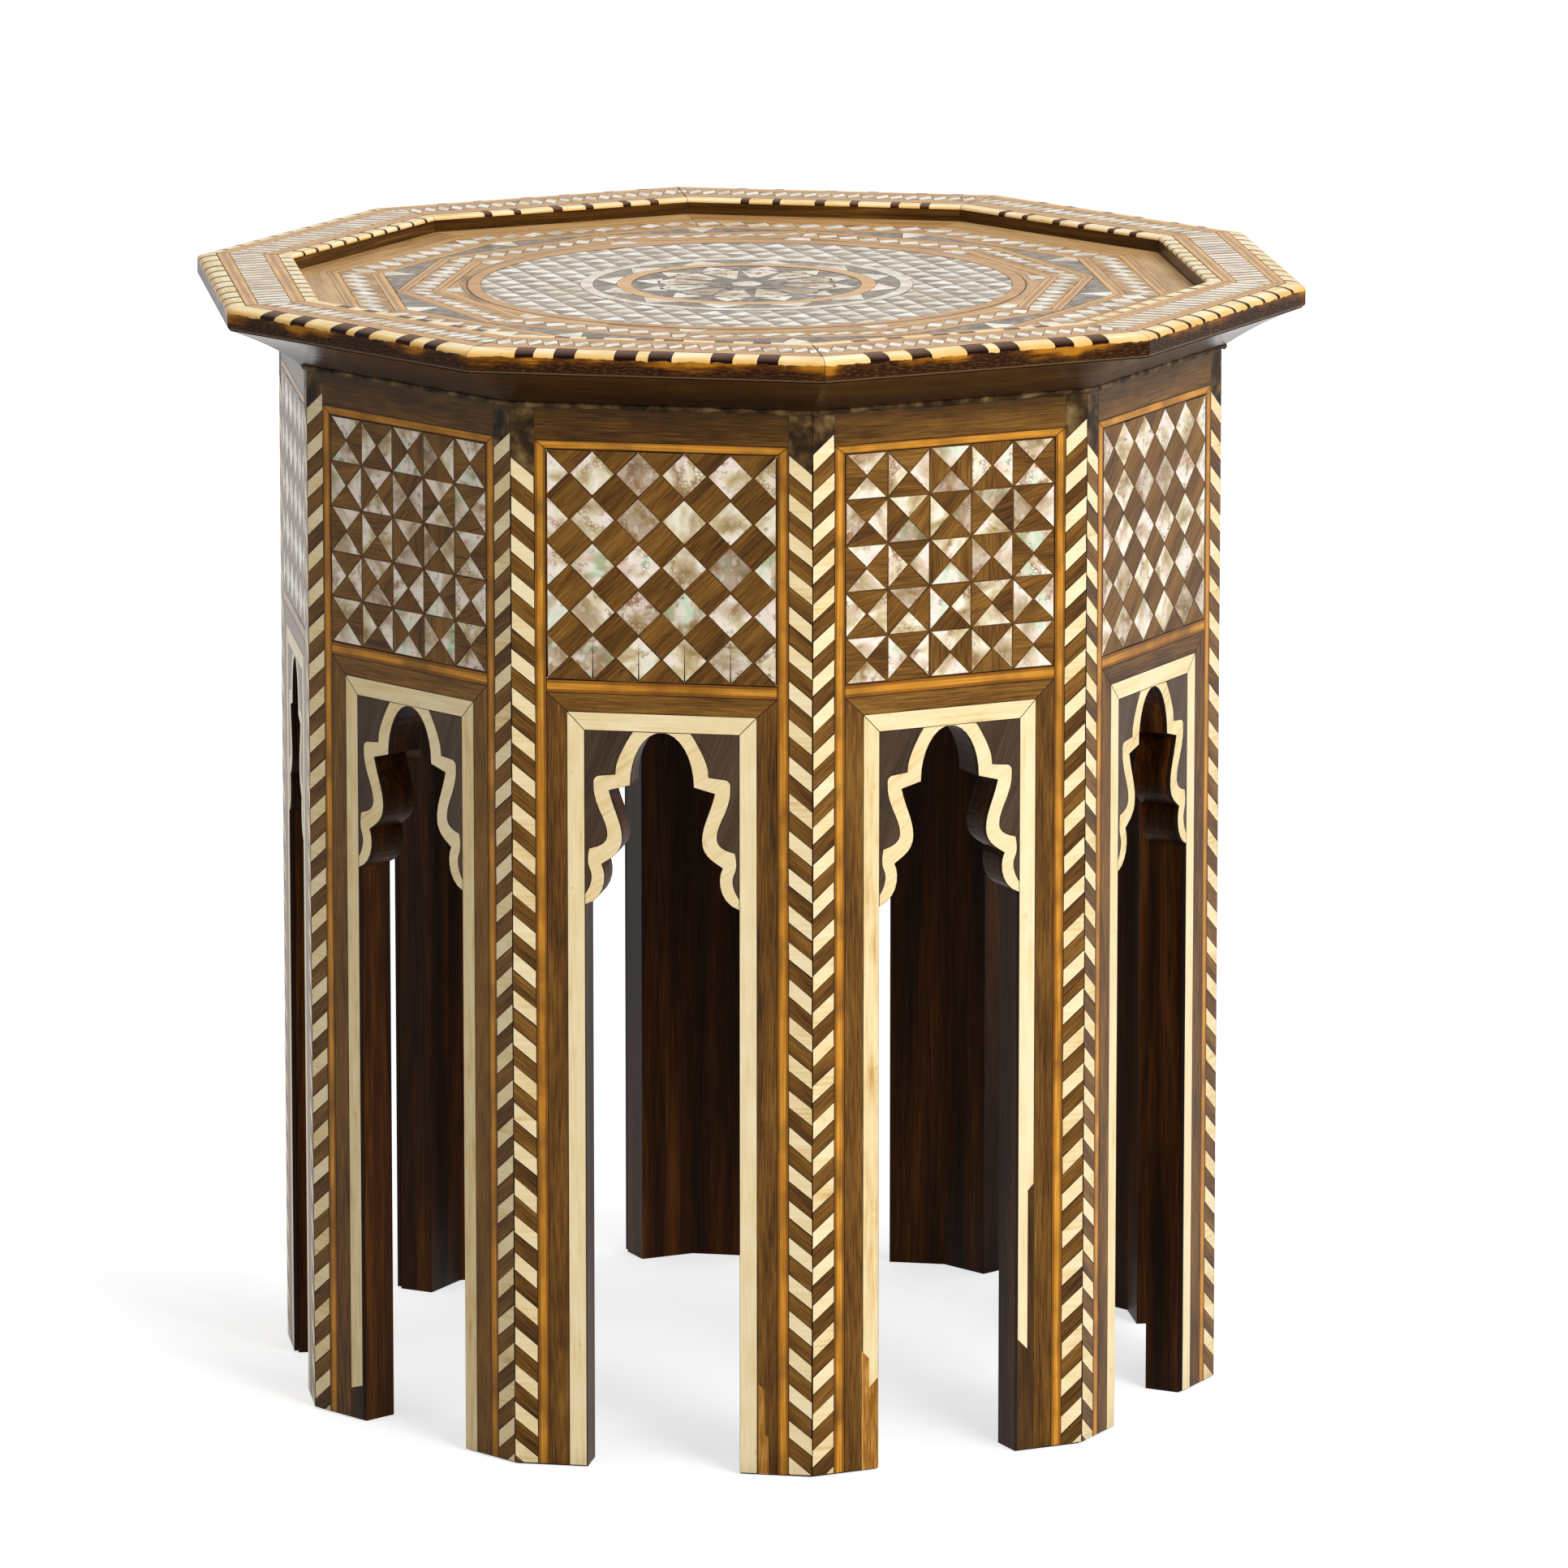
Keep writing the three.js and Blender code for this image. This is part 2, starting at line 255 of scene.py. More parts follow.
# %% Pearl
def pearl_finish(name, colours, glow, roughness=0.25, shade=0.8):
    shell = new_finish(name)
    uv = add_node(shell, "UVMap", uv_map="grain").outputs["UV"]
    tone = add_node(shell, "Attribute", attribute_name="tone").outputs["Fac"]
    turn = add_node(shell, "Math", {0: tone, 1: 97.0}, operation="MULTIPLY").outputs["Value"]
    turned = add_node(shell, "VectorRotate", {"Vector": uv, "Angle": turn},
                      rotation_type="Z_AXIS").outputs["Vector"]

    def field(long, wide, offset, detail=2.0, distortion=0.0):
        """Patches of one size in the shell. The offset gives each use its own part of the noise."""
        place = add_node(shell, "Math", {0: tone, 1: 61.0, 2: offset}, operation="MULTIPLY_ADD")
        return drawn_out_noise(shell, turned, (long, wide), detail, place.outputs["Value"], distortion)

    def mood(turns):
        """A number from 0 to 1 that differs from piece to piece, for one trait of the shell."""
        many = add_node(shell, "Math", {0: tone, 1: turns}, operation="MULTIPLY").outputs["Value"]
        return add_node(shell, "Math", {0: many}, operation="FRACT").outputs["Value"]

    def where_both(*traits):
        """How much two traits come together. Each is a value, its two limits and its strength."""
        shares = [add_node(shell, "MapRange", {"Value": value, "From Min": low, "From Max": high,
                                               "To Max": most}).outputs["Result"]
                  for value, low, high, most in traits]
        return add_node(shell, "Math", dict(enumerate(shares)), operation="MULTIPLY").outputs["Value"]

    hue = add_node(shell, "Math", {0: tone, 1: 0.3, 2: field(10, 7, 1.0, 1.0)}, operation="MULTIPLY_ADD")
    hue = add_node(shell, "Math", {0: hue.outputs["Value"], 1: 0.08}, operation="SUBTRACT").outputs["Value"]
    base = add_node(shell, "ValToRGB", {"Fac": hue}, stops=colours).outputs["Color"]
    growth = field(8, 1.6, 5.0, 1.0, 0.3)
    cloud = field(14, 9, 7.0, 0.5, 0.3)
    mixed = add_node(shell, "Math", {0: growth, 1: 0.16, 2: cloud}, operation="MULTIPLY_ADD").outputs["Value"]
    sheen = add_node(shell, "ValToRGB", {"Fac": mixed}, stops=glow).outputs["Color"]
    colour = add_node(shell, "Mix", {"Factor": 0.85, 6: base, 7: sheen}, data_type="RGBA",
                      blend_type="MULTIPLY").outputs[2]
    colour = lay_tint(shell, mood(7.3), (0.72, 0.95), colour, "#a8957a", shade, "MULTIPLY")
    glints = add_node(shell, "TexVoronoi", {"Vector": turned, "Scale": 1 / (2.6 * mm), "Randomness": 0.9})
    cell = add_node(shell, "SeparateXYZ", {"Vector": glints.outputs["Color"]}).outputs["X"]
    glint = where_both((cell, 0.45, 1.0, 1.0), (field(7, 5, 9.0, 1.0), 0.42, 0.6, 1.0))
    colour = lay_tint(shell, glint, (0, 1), colour, "#8d8a84", blend="SCREEN")
    spots = add_node(shell, "Math", {0: mood(3.7), 1: 0.14, 2: field(7, 5, 13.0, 2.0)},
                     operation="MULTIPLY_ADD")
    colour = lay_tint(shell, spots.outputs["Value"], (0.66, 0.78), colour, "#8a6030", shade)
    cracks = add_node(shell, "TexVoronoi", {"Vector": turned, "Scale": 1 / (1.9 * mm)},
                      feature="DISTANCE_TO_EDGE")
    where = add_node(shell, "Math", {0: mood(5.1), 1: 0.12, 2: field(9, 6, 17.0, 1.0)},
                     operation="MULTIPLY_ADD")
    tracks = where_both((cracks.outputs["Distance"], 0.13, 0.03, 1.0),
                        (where.outputs["Value"], 0.63, 0.7, shade))
    colour = lay_tint(shell, tracks, (0, 1), colour, "#7d5228")
    bump = add_node(shell, "Bump", {"Height": growth, "Strength": 0.2, "Distance": 0.15 * mm})
    return finish_surface(shell, {"Base Color": colour, "Roughness": roughness, "IOR": 1.6,
                                  "Specular IOR Level": 0.2, "Normal": bump.outputs["Normal"]})


pearl = pearl_finish("mother_of_pearl", [(0.3, "#c4b083"), (0.43, "#dccfae"), (0.53, "#ebe3d1"),
                                         (0.63, "#edd6cb"), (0.72, "#e2dccb"), (0.85, "#c5d6b9")],
                     [(0.38, "#ab956c"), (0.52, "#dacdb6"), (0.64, "#ffffff")])
clear_pearl = pearl_finish("clear_pearl", [(0.3, "#d3c3a6"), (0.5, "#e9dfcc"), (0.66, "#f7f2e8"),
                                           (0.85, "#e3e8da")],
                           [(0.38, "#e0d8cb"), (0.58, "#ffffff")], shade=0.35)
horn = pearl_finish("dark_horn", [(0.3, "#4f3f2c"), (0.5, "#73604a"), (0.7, "#8c7a66"), (0.85, "#756a58")],
                    [(0.38, "#a89e8e"), (0.68, "#ffffff")], roughness=0.3, shade=0.2)
smoky_horn = pearl_finish("smoky_horn", [(0.3, "#77634a"), (0.5, "#958069"), (0.7, "#a99682"),
                                         (0.85, "#968b7a")],
                          [(0.38, "#cfc5b4"), (0.63, "#ffffff")], roughness=0.3, shade=0.2)

# %% [markdown]
# ## Edging of the rim
# Light and dark blocks form the edging and roll over the rim's outer edge, and their rolled
# faces are darker than their tops: painted shade, which on the light blocks is also wood worn
# to amber. Their lower ends are worn to a ragged line, and under it the side of the rim shows:
# raw amber wood at first, then dark walnut, with scuffs along the grain and a painted highlight
# along the lower arris. The height above the floor says where, and a noise makes the line ragged.

# %% Edging and the side of the rim
def edging(name, shades, rolled_shade_and_wear_tint="#ffffff", chip_height=rim_high.z - 3.3 * mm):
    wood = new_finish(name)
    top, normal = veneer_colour(wood, shades, grain=(14, 1.2), figure=(20, 5), spread=0.2, pores=0.1)
    spot = add_node(wood, "TexCoord").outputs["Object"]
    height = add_node(wood, "SeparateXYZ", {"Vector": spot}).outputs["Z"]
    # Where a block rolls over the edge its colour is multiplied by a tint: painted shade on the rolled face,
    # on the light blocks also amber wear
    rolled = (rim_high.z - 0.7 * mm, rim_high.z - 1.7 * mm)
    top = lay_tint(wood, height, rolled, top, rolled_shade_and_wear_tint, blend="MULTIPLY")
    lifted = add_node(wood, "Math", {0: patches(wood, 5, 3.0), 1: 2.4 * mm, 2: height},
                      operation="MULTIPLY_ADD").outputs["Value"]
    middle = chip_height + 1.2 * mm
    block_end = rim_high.z - 0.4 * mm
    deep = add_node(wood, "Math", {0: patches(wood, 34, 2.0), 1: 20.0 * mm, 2: lifted},
                    operation="MULTIPLY_ADD").outputs["Value"]
    uv = add_node(wood, "UVMap", uv_map="grain").outputs["UV"]
    rubbed = drawn_out_noise(wood, uv, (18, 1.6), 3.0)
    deep = add_node(wood, "Math", {0: rubbed, 1: 7.0 * mm, 2: deep},
                    operation="MULTIPLY_ADD").outputs["Value"]
    fade = add_node(wood, "MapRange", {"Value": deep, "From Min": block_end + 12.3 * mm,
                                       "From Max": block_end + 7.8 * mm}).outputs["Result"]
    side = add_node(wood, "ValToRGB", {"Fac": fade}, stops=[
        (0.0, "#ab7018"), (0.3, "#7f4b09"), (0.6, "#4a2903"), (1.0, "#281200")]).outputs["Color"]
    scuffs = drawn_out_noise(wood, uv, (3, 0.7), 4.0)
    side = lay_tint(wood, scuffs, (0.5, 0.75), side, "#7d5230", 0.6)
    # A painted highlight along the lower arris of the rim, where it meets the moulding
    arris_highlight = (rim_low.z + 1.3 * mm, rim_low.z + 0.5 * mm)
    side = lay_tint(wood, height, arris_highlight, side, "#8f7352", 0.6)
    colour = lay_tint(wood, lifted, (middle + 0.2 * mm, middle - 0.2 * mm), top, side)
    return finish_surface(wood, {"Base Color": colour, "Roughness": 0.3, "IOR": 1.5,
                                 "Specular IOR Level": 0.06, "Normal": normal})


# The last colour of each edging tints its rolled face: painted shade, and on the light blocks also amber wear
light_edging = edging("light_edging", [(0.2, "#dcb878"), (0.45, "#edd6a4"), (0.7, "#f7e8c6")], "#f0d6a8")
dark_edging = edging("dark_edging", [(0.2, "#3e2412"), (0.5, "#5a3a24"), (0.8, "#6e4c34")], "#5c3c28")
rim_side = edging("walnut_rim_side", [(0.2, "#341c0c"), (0.8, "#4a2a12")], chip_height=rim_high.z + 20 * mm)
inner_wall = veneer("amber_walnut_wall", [(0.25, "#1f1003"), (0.45, "#382107"), (0.65, "#533510"),
                                          (0.8, "#785420")],
                    grain=(30, 0.8), figure=(50, 3))

# %% [markdown]
# ## Glue and stained wood
# Dark glue fills the joints between the inlaid pieces. The bare boards behind were stained
# dark, with the upright grain of the pine showing as brown streaks, and their colour is made
# nearly black as painted shade of the table's inside.

# %% Glue line and stained board
glue_line = finish_surface(new_finish("dark_glue_line"), {"Base Color": linear("#20140c"), "Roughness": 0.6})


old_putty = new_finish("old_glue_and_putty")
mottle = patches(old_putty, 9, 6.0)
putty_colour = add_node(old_putty, "ValToRGB", {"Fac": mottle}, stops=[
    (0.34, "#150b02"), (0.46, "#33230f"), (0.56, "#564023"), (0.68, "#7c6440")])
lumpy = add_node(old_putty, "Bump", {"Height": mottle, "Strength": 0.5, "Distance": 0.8 * mm})
finish_surface(old_putty, {"Base Color": putty_colour.outputs["Color"], "Roughness": 0.5,
                           "Normal": lumpy.outputs["Normal"]})


def stained_board(name, stops, streak=(4, 90), roughness=0.42, upright=True, relief=0.15, gloss=0.08):
    wood = new_finish(name)
    spot = add_node(wood, "TexCoord").outputs["Object"]
    wide, long = streak
    scales = (1 / (wide * mm), 1 / (wide * mm), 1 / (long * mm)) if upright else (
        1 / (long * mm), 1 / (long * mm), 1 / (wide * mm))
    stretched = add_node(wood, "Mapping", {"Vector": spot, "Scale": scales}).outputs["Vector"]
    broad = add_node(wood, "TexNoise", {"Vector": stretched, "Scale": 0.35, "Detail": 4.0}).outputs["Fac"]
    fine = add_node(wood, "TexNoise", {"Vector": stretched, "Scale": 3.0, "Detail": 1.5}).outputs["Fac"]
    mixed = add_node(wood, "Math", {0: fine, 1: 0.45, 2: -0.22}, operation="MULTIPLY_ADD").outputs["Value"]
    shade = add_node(wood, "Math", {0: broad, 1: mixed}, operation="ADD").outputs["Value"]
    colour = add_node(wood, "ValToRGB", {"Fac": shade}, stops=stops).outputs["Color"]
    bump = add_node(wood, "Bump", {"Height": fine, "Strength": relief, "Distance": 0.2 * mm})
    return finish_surface(wood, {"Base Color": colour, "Roughness": roughness, "IOR": 1.5,
                                 "Specular IOR Level": gloss, "Normal": bump.outputs["Normal"]})


# The stain is darkened further to nearly black: painted shade of the table's inside
stained_and_shaded_board = stained_board("stained_pine_with_painted_shade", [(0.3, "#140700"), (0.46, "#2d1503"), (0.58, "#41220a"),
                                                  (0.75, "#5f3713")])
moulding_wood = stained_board("polished_walnut_moulding",
                              [(0.3, "#241100"), (0.5, "#3b2004"), (0.75, "#5c3a14")],
                              streak=(6, 90), roughness=0.25, upright=False, relief=0.03, gloss=0.22)
bare_wood = stained_board("bare_pine", [(0.3, "#7d5a38"), (0.5, "#9c7348"), (0.7, "#b58b5c")])
for name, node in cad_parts.items():
    finish = None
    if name.startswith("side_board"):
        finish = stained_and_shaded_board
    elif name.startswith("cornice_moulding"):
        finish = moulding_wood
    elif name.startswith(("glue_block", "tray_board")):
        finish = bare_wood
    if finish:
        for slot in node.material_slots:
            slot.material = finish

# %% [markdown]
# ## Working on a flat leaf
# A leaf is cut up as the maker would on the bench: one sheet, sawn along straight lines. The
# bisect tool is that saw. It cuts only the selected faces, so each cut first chooses the faces
# by where their middles lie.

# %% Helpers for cutting
def select_only(*pieces):
    bpy.ops.object.select_all(action="DESELECT")
    for piece in pieces:
        piece.select_set(True)
    bpy.context.view_layer.objects.active = pieces[0]


def open_piece(piece):
    if bpy.context.object and bpy.context.object.mode != "OBJECT":
        bpy.ops.object.mode_set(mode="OBJECT")
    select_only(piece)
    bpy.ops.object.mode_set(mode="EDIT")
    bpy.ops.mesh.select_mode(type="FACE")
    bpy.ops.mesh.select_all(action="DESELECT")


def close_piece():
    bpy.ops.object.mode_set(mode="OBJECT")


def choose(piece, test):
    """Select the faces whose middle and normal pass the test."""
    bpy.ops.mesh.select_all(action="DESELECT")
    shape = bmesh.from_edit_mesh(piece.data)
    for face in shape.faces:
        if test(face.calc_center_median(), face.normal):
            face.select_set(True)
    bmesh.update_edit_mesh(piece.data)


def cut(piece, test, point, normal):
    choose(piece, test)
    bpy.ops.mesh.bisect(plane_co=point, plane_no=normal, threshold=merge_gap)


def trim(point, normal):
    """Saw off all that lies past a plane."""
    bpy.ops.mesh.select_all(action="SELECT")
    bpy.ops.mesh.bisect(plane_co=point, plane_no=normal, clear_outer=True, threshold=merge_gap)


def mitre_ends(gap=0.0):
    """Saw both ends of a length to half the angle of a corner, short of it by half the gap."""
    for side in (-1, 1):
        bpy.ops.mesh.select_all(action="SELECT")
        bpy.ops.mesh.bisect(plane_co=(-side * gap / 2, 0, 0), use_fill=True, clear_outer=True,
                            plane_no=(side * math.cos(half_angle), math.sin(half_angle), 0))


def flat_sheet(name, x0, x1, z0, z1, y):
    """A rectangle that faces the front."""
    bpy.ops.object.select_all(action="DESELECT")
    bpy.ops.mesh.primitive_plane_add(size=1, location=((x0 + x1) / 2, y, (z0 + z1) / 2),
                                     rotation=(math.pi / 2, 0, 0))
    sheet = bpy.context.object
    sheet.name = name
    sheet.scale = (x1 - x0, z1 - z0, 1)
    bpy.ops.object.transform_apply()
    return sheet


def thicken(piece, amount):
    """Pull all the faces of an open flat sheet out by its thickness, which closes it."""
    bpy.ops.mesh.select_all(action="SELECT")
    bpy.ops.mesh.extrude_region_move(TRANSFORM_OT_translate={"value": amount})
    bpy.ops.mesh.select_all(action="SELECT")
    bpy.ops.mesh.normals_make_consistent(inside=False)


def in_front(centre, normal):
    return normal.y < -0.5

# %% [markdown]
# Every face then gets its wood. A table of finishes is kept, and a rule for the leaf says from
# the middle of a face which wood lies there and which way its grain runs. The rule is applied
# before the joints are made, and each joint is an inset ring that falls a little below the
# surface and gets the glue line.

# %% Helpers for laying the woods
finishes = {"walnut": walnut, "lemon": lemon_wood, "ebony": ebony, "line": dyed_line, "pearl": pearl,
            "clear pearl": clear_pearl, "horn": horn, "smoky horn": smoky_horn, "raw": raw_wood,
            "bared": bared_wood, "putty": old_putty, "tray walnut": tray_walnut, "tray line": tray_line,
            "ring wood": orange_ring, "inner wall": inner_wall, "light edging": light_edging,
            "dark edging": dark_edging, "rim side": rim_side, "glue": glue_line}
finish_order = list(finishes)


def lay_woods(piece, rule, test=in_front):
    """Give each chosen face a wood, a grain angle and a number. Faces with one key are one piece."""
    close_piece()
    mesh = piece.data
    for finish in finishes.values():
        mesh.materials.append(finish)
    turns = mesh.attributes.new("turn", "FLOAT", "FACE")
    numbers = mesh.attributes.new("number", "INT", "FACE")
    keys = {}
    for face in mesh.polygons:
        face.material_index = finish_order.index("glue")
        if test(face.center, face.normal):
            wood, turn, *key = rule(face.center)
            face.material_index = finish_order.index(wood)
            turns.data[face.index].value = turn
            if wood != "glue":
                key = tuple(key) or face.index
                numbers.data[face.index].value = keys.setdefault(key, len(keys) + 1)
    open_piece(piece)


def joint_round(piece, woods, width, depth=groove, ring="glue"):
    """Inset each face of the given woods. The ring round it becomes glue, or another wood."""
    wanted = {finish_order.index(wood) for wood in woods}
    bpy.ops.mesh.select_all(action="DESELECT")
    shape = bmesh.from_edit_mesh(piece.data)
    number = shape.faces.layers.int["number"]
    for face in shape.faces:
        if face[number] and face.material_index in wanted and face.calc_area() > 4 * width * width:
            face.select_set(True)
    bmesh.update_edit_mesh(piece.data)
    bpy.ops.mesh.inset(thickness=width, depth=depth, use_individual=True)
    shape = bmesh.from_edit_mesh(piece.data)
    number = shape.faces.layers.int["number"]
    for face in shape.faces:
        if face[number] and face.material_index in wanted and not face.select:
            face.material_index = finish_order.index(ring)
            face[number] = 0 if ring == "glue" else face[number]
    bmesh.update_edit_mesh(piece.data)


def join_parts(parts):
    """Join laid parts into the first one, with a number of its own for each inlaid piece."""
    last = 0
    for part in parts:
        numbers = face_values(part.data, "number")
        moved = np.where(numbers > 0, numbers + last, 0).astype(np.int32)
        part.data.attributes["number"].data.foreach_set("value", moved)
        last += numbers.max()
    select_only(*parts)
    bpy.ops.object.join()


def face_values(mesh, name, kind=int):
    values = np.empty(len(mesh.polygons), kind)
    mesh.attributes[name].data.foreach_get("value", values)
    return values

# %% [markdown]
# ## The marquetry leaf
# One leaf covers a side. From the edges inward it has a strip of slanted light and dark pieces,
# an orange line, a walnut band and a light frame, and each of the last three returns across the
# top with mitred corners. Two windows are left open: one for the mosaic, one for the arch.

# %% Lines of the leaf
strip_edge = 61.4 * mm
line_edge = 55.83 * mm
band_edge = 46.0 * mm
opening_edge = 37.5 * mm
line_top, line_bottom = 502.8 * mm, 498.7 * mm
window_foot = 387.2 * mm
band_top, band_bottom = 381.0 * mm, 372.0 * mm
frame_foot = 363.2 * mm
crown, arch_foot = 363.0 * mm, 278.0 * mm


def mitred_border(piece, outer, inner, top, bottom):
    """Saw a band across the top and two uprights, and mitre them into each other."""
    cut(piece, lambda c, n: abs(c.x) < outer and c.z < top, (0, 0, bottom), (0, 0, 1))
    for side in (-1, 1):
        cut(piece, lambda c, n: abs(c.x) < outer and c.z < bottom, (side * inner, 0, 0), (1, 0, 0))
    for side in (-1, 1):
        slope = (side * (top - bottom), 0, inner - outer)
        cut(piece, lambda c, n: abs(c.x) < outer and bottom < c.z < top, (side * outer, 0, top), slope)
    for side in (-1, 1):
        choose(piece, lambda c, n: inner < side * c.x < outer and c.z < top)
        bpy.ops.mesh.dissolve_faces()


def sawn_leaf(name):
    """The leaf without its slanted strips, closed to its thickness."""
    back = half_width - leaf_depth * math.tan(half_angle)
    leaf = flat_sheet(name, -back, back, leaf_low.z, leaf_high.z, leaf_high.y)
    open_piece(leaf)
    for side in (-1, 1):
        cut(leaf, lambda c, n: True, (side * strip_edge, 0, 0), (1, 0, 0))
    cut(leaf, lambda c, n: abs(c.x) < strip_edge, (0, 0, line_top), (0, 0, 1))
    mitred_border(leaf, strip_edge, line_edge, line_top, line_bottom)
    for height in (window_foot, band_top):
        cut(leaf, lambda c, n: abs(c.x) < line_edge and c.z < line_bottom, (0, 0, height), (0, 0, 1))
    mitred_border(leaf, line_edge, band_edge, band_top, band_bottom)
    mitred_border(leaf, band_edge, opening_edge, band_bottom, frame_foot)
    choose(leaf, lambda c, n: abs(c.x) < line_edge and window_foot < c.z < line_bottom)
    bpy.ops.mesh.delete(type="FACE")
    choose(leaf, lambda c, n: abs(c.x) < opening_edge and c.z < frame_foot)
    bpy.ops.mesh.delete(type="FACE")
    thicken(leaf, (0, groove - leaf_depth, 0))
    shape = bmesh.from_edit_mesh(leaf.data)
    for vertex in shape.verts:
        if vertex.co.y < leaf_low.y + 2 * groove and abs(vertex.co.x) > strip_edge + mm:
            vertex.co.x = math.copysign(half_width, vertex.co.x)
    bmesh.update_edit_mesh(leaf.data)
    return leaf

# %% [markdown]
# The slanted strips come from a ready-made stick. The pitch and the start differ a little from
# strip to strip, as they were glued by eye. On one side both strips fall to the right, and on
# the next both rise, so they meet at the corners in a row of chevrons. The numbers are the
# height of the first light piece at the middle of the strip and the pitch, in millimetres.

# %% Slanted strips
strip_middle = 67.1 * mm
light_share = 0.48
putty_foot = 480 * mm
strips = {1: [(-1, 489.7, 18.5, -0.8), (1, 494.5, 18.1, -0.8)],
          2: [(-1, 504.1, 18.0, 0.8), (1, 501.8, 18.55, 0.8)]}


def saw_strips(leaf, kind):
    for side, first, pitch, slope in strips[kind]:
        count = int((first + 12) / pitch) + 1
        for i in range(count):
            for share in (0, light_share):
                height = (first - (i + share) * pitch) * mm - slope * side * strip_middle
                cut(leaf, lambda c, n: n.y < -0.5 and side * c.x > strip_edge, (0, 0, height), (-slope, 0, 1))


def leaf_rule(kind):
    """Which wood lies at a place of the leaf, and the angle of its grain."""
    def rule(c):
        x, z = c.x, c.z
        upright = math.pi / 2
        if abs(x) > strip_edge:
            side, first, pitch, slope = strips[kind][0 if x < 0 else 1]
            steps = (first * mm + slope * (x - side * strip_middle) - z) / (pitch * mm)
            light = steps > 0 and steps % 1 < light_share
            if steps < 0.3 and not light and z > putty_foot:
                return "putty", upright
            return ("lemon", 0.0) if light else ("walnut", math.atan(slope))
        if z > line_top or line_edge > abs(x) and band_top < z and z > line_bottom + mm:
            return ("walnut", 0.0) if z > line_top else ("line", 0.0)
        if abs(x) > line_edge:
            return "line", upright
        if z > band_top:
            return "line", 0.0
        if abs(x) > band_edge:
            return "walnut", upright
        if z > band_bottom:
            return "walnut", 0.0
        return ("lemon", upright) if abs(x) > opening_edge else ("lemon", 0.0)
    return rule

# %% [markdown]
# ## The arch head
# A light band follows the lobed opening, and ebony spandrels fill the corners between it and
# the frame. Both are curved, so they start as flat filled curves: the band is the shape inside
# its outer outline with the opening left out of it, the spandrels are a board with that outline
# left out of it, and the saw then trims both to the frame. The opening is drawn with the same
# shares as the solid, and smooth curve points follow the outer outline.

# %% Outlines of the opening and of the band
def lobe(start, pull, leave, end, steps=7):
    a, b, c, d = map(np.array, (start, pull, leave, end))
    t = np.linspace(0, 1, steps + 1)[:, None]
    return (1 - t) ** 3 * a + 3 * (1 - t) ** 2 * t * b + 3 * (1 - t) * t * t * c + t ** 3 * d


head_height = crown - arch_foot
head_shares = [(0.41 * math.sin(a), 0.306 * (1 - math.cos(a))) for a in np.linspace(0, math.pi / 2, 9)]
for first_point, ends in ((0, ((0.683, 0.338), (0.625, 0.45), (0.515, 0.52), (0.515, 0.61))),
                          (1, ((0.515, 0.61), (0.515, 0.7), (0.68, 0.73), (0.782, 0.762))),
                          (1, ((0.782, 0.762), (0.71, 0.82), (0.72, 0.96), (1, 1)))):
    head_shares += [tuple(p) for p in lobe(*ends)[first_point:]]
opening_half = [(x * opening_edge, crown - z * head_height, True) for x, z in head_shares]
opening_half += [(45 * mm, 274 * mm, True), (45 * mm, 260 * mm, True)]
# The outer outline of the band in millimetres, from the crown down; True marks a sharp corner
band_half = [(0, 372.5, False), (8.5, 369, False), (14.0, 363.2, False), (17.8, 357, False),
             (20.9, 350.6, False), (22.3, 346.2, False), (22.7, 342.2, True), (31.2, 341.3, True),
             (32.9, 339.9, False),
             (33.3, 336.6, False), (32.8, 331.6, False), (30.9, 325.6, False), (28.2, 319.3, False),
             (26.8, 314.2, False), (27.1, 310.6, False), (29.3, 308.0, False), (35.5, 305.7, True),
             (36.1, 301.5, False), (35.9, 297.6, False), (34.7, 294.2, False), (34.4, 291.4, False),
             (35.0, 288.4, False), (36.4, 285.2, False), (38.6, 282.2, False),
             (50, 276, True), (50, 255, True)]
band_half = [(x * mm, z * mm, sharp) for x, z, sharp in band_half]


def whole(half):
    """Both halves of an outline that runs from the crown down its right side."""
    return half + [(-x, z, sharp) for x, z, sharp in reversed(half[1:])]


def filled_shape(name, outlines, place, lying=False):
    """Fill outlines, standing in the plane y = place or lying in the plane z = place."""
    curve = bpy.data.curves.new(name, "CURVE")
    curve.dimensions = "2D"
    curve.fill_mode = "BOTH"
    curve.resolution_u = 3
    for outline in outlines:
        spline = curve.splines.new("BEZIER")
        spline.use_cyclic_u = True
        spline.bezier_points.add(len(outline) - 1)
        for point, (x, z, sharp) in zip(spline.bezier_points, outline):
            point.co = (x, z, 0)
            point.handle_left_type = point.handle_right_type = "VECTOR" if sharp else "AUTO"
    shape = bpy.data.objects.new(name, curve)
    bpy.context.collection.objects.link(shape)
    select_only(shape)
    bpy.ops.object.convert(target="MESH")
    shape = bpy.context.object
    shape.rotation_euler = (0 if lying else math.pi / 2, 0, 0)
    shape.location = (0, 0, place) if lying else (0, place, 0)
    bpy.ops.object.transform_apply()
    return shape

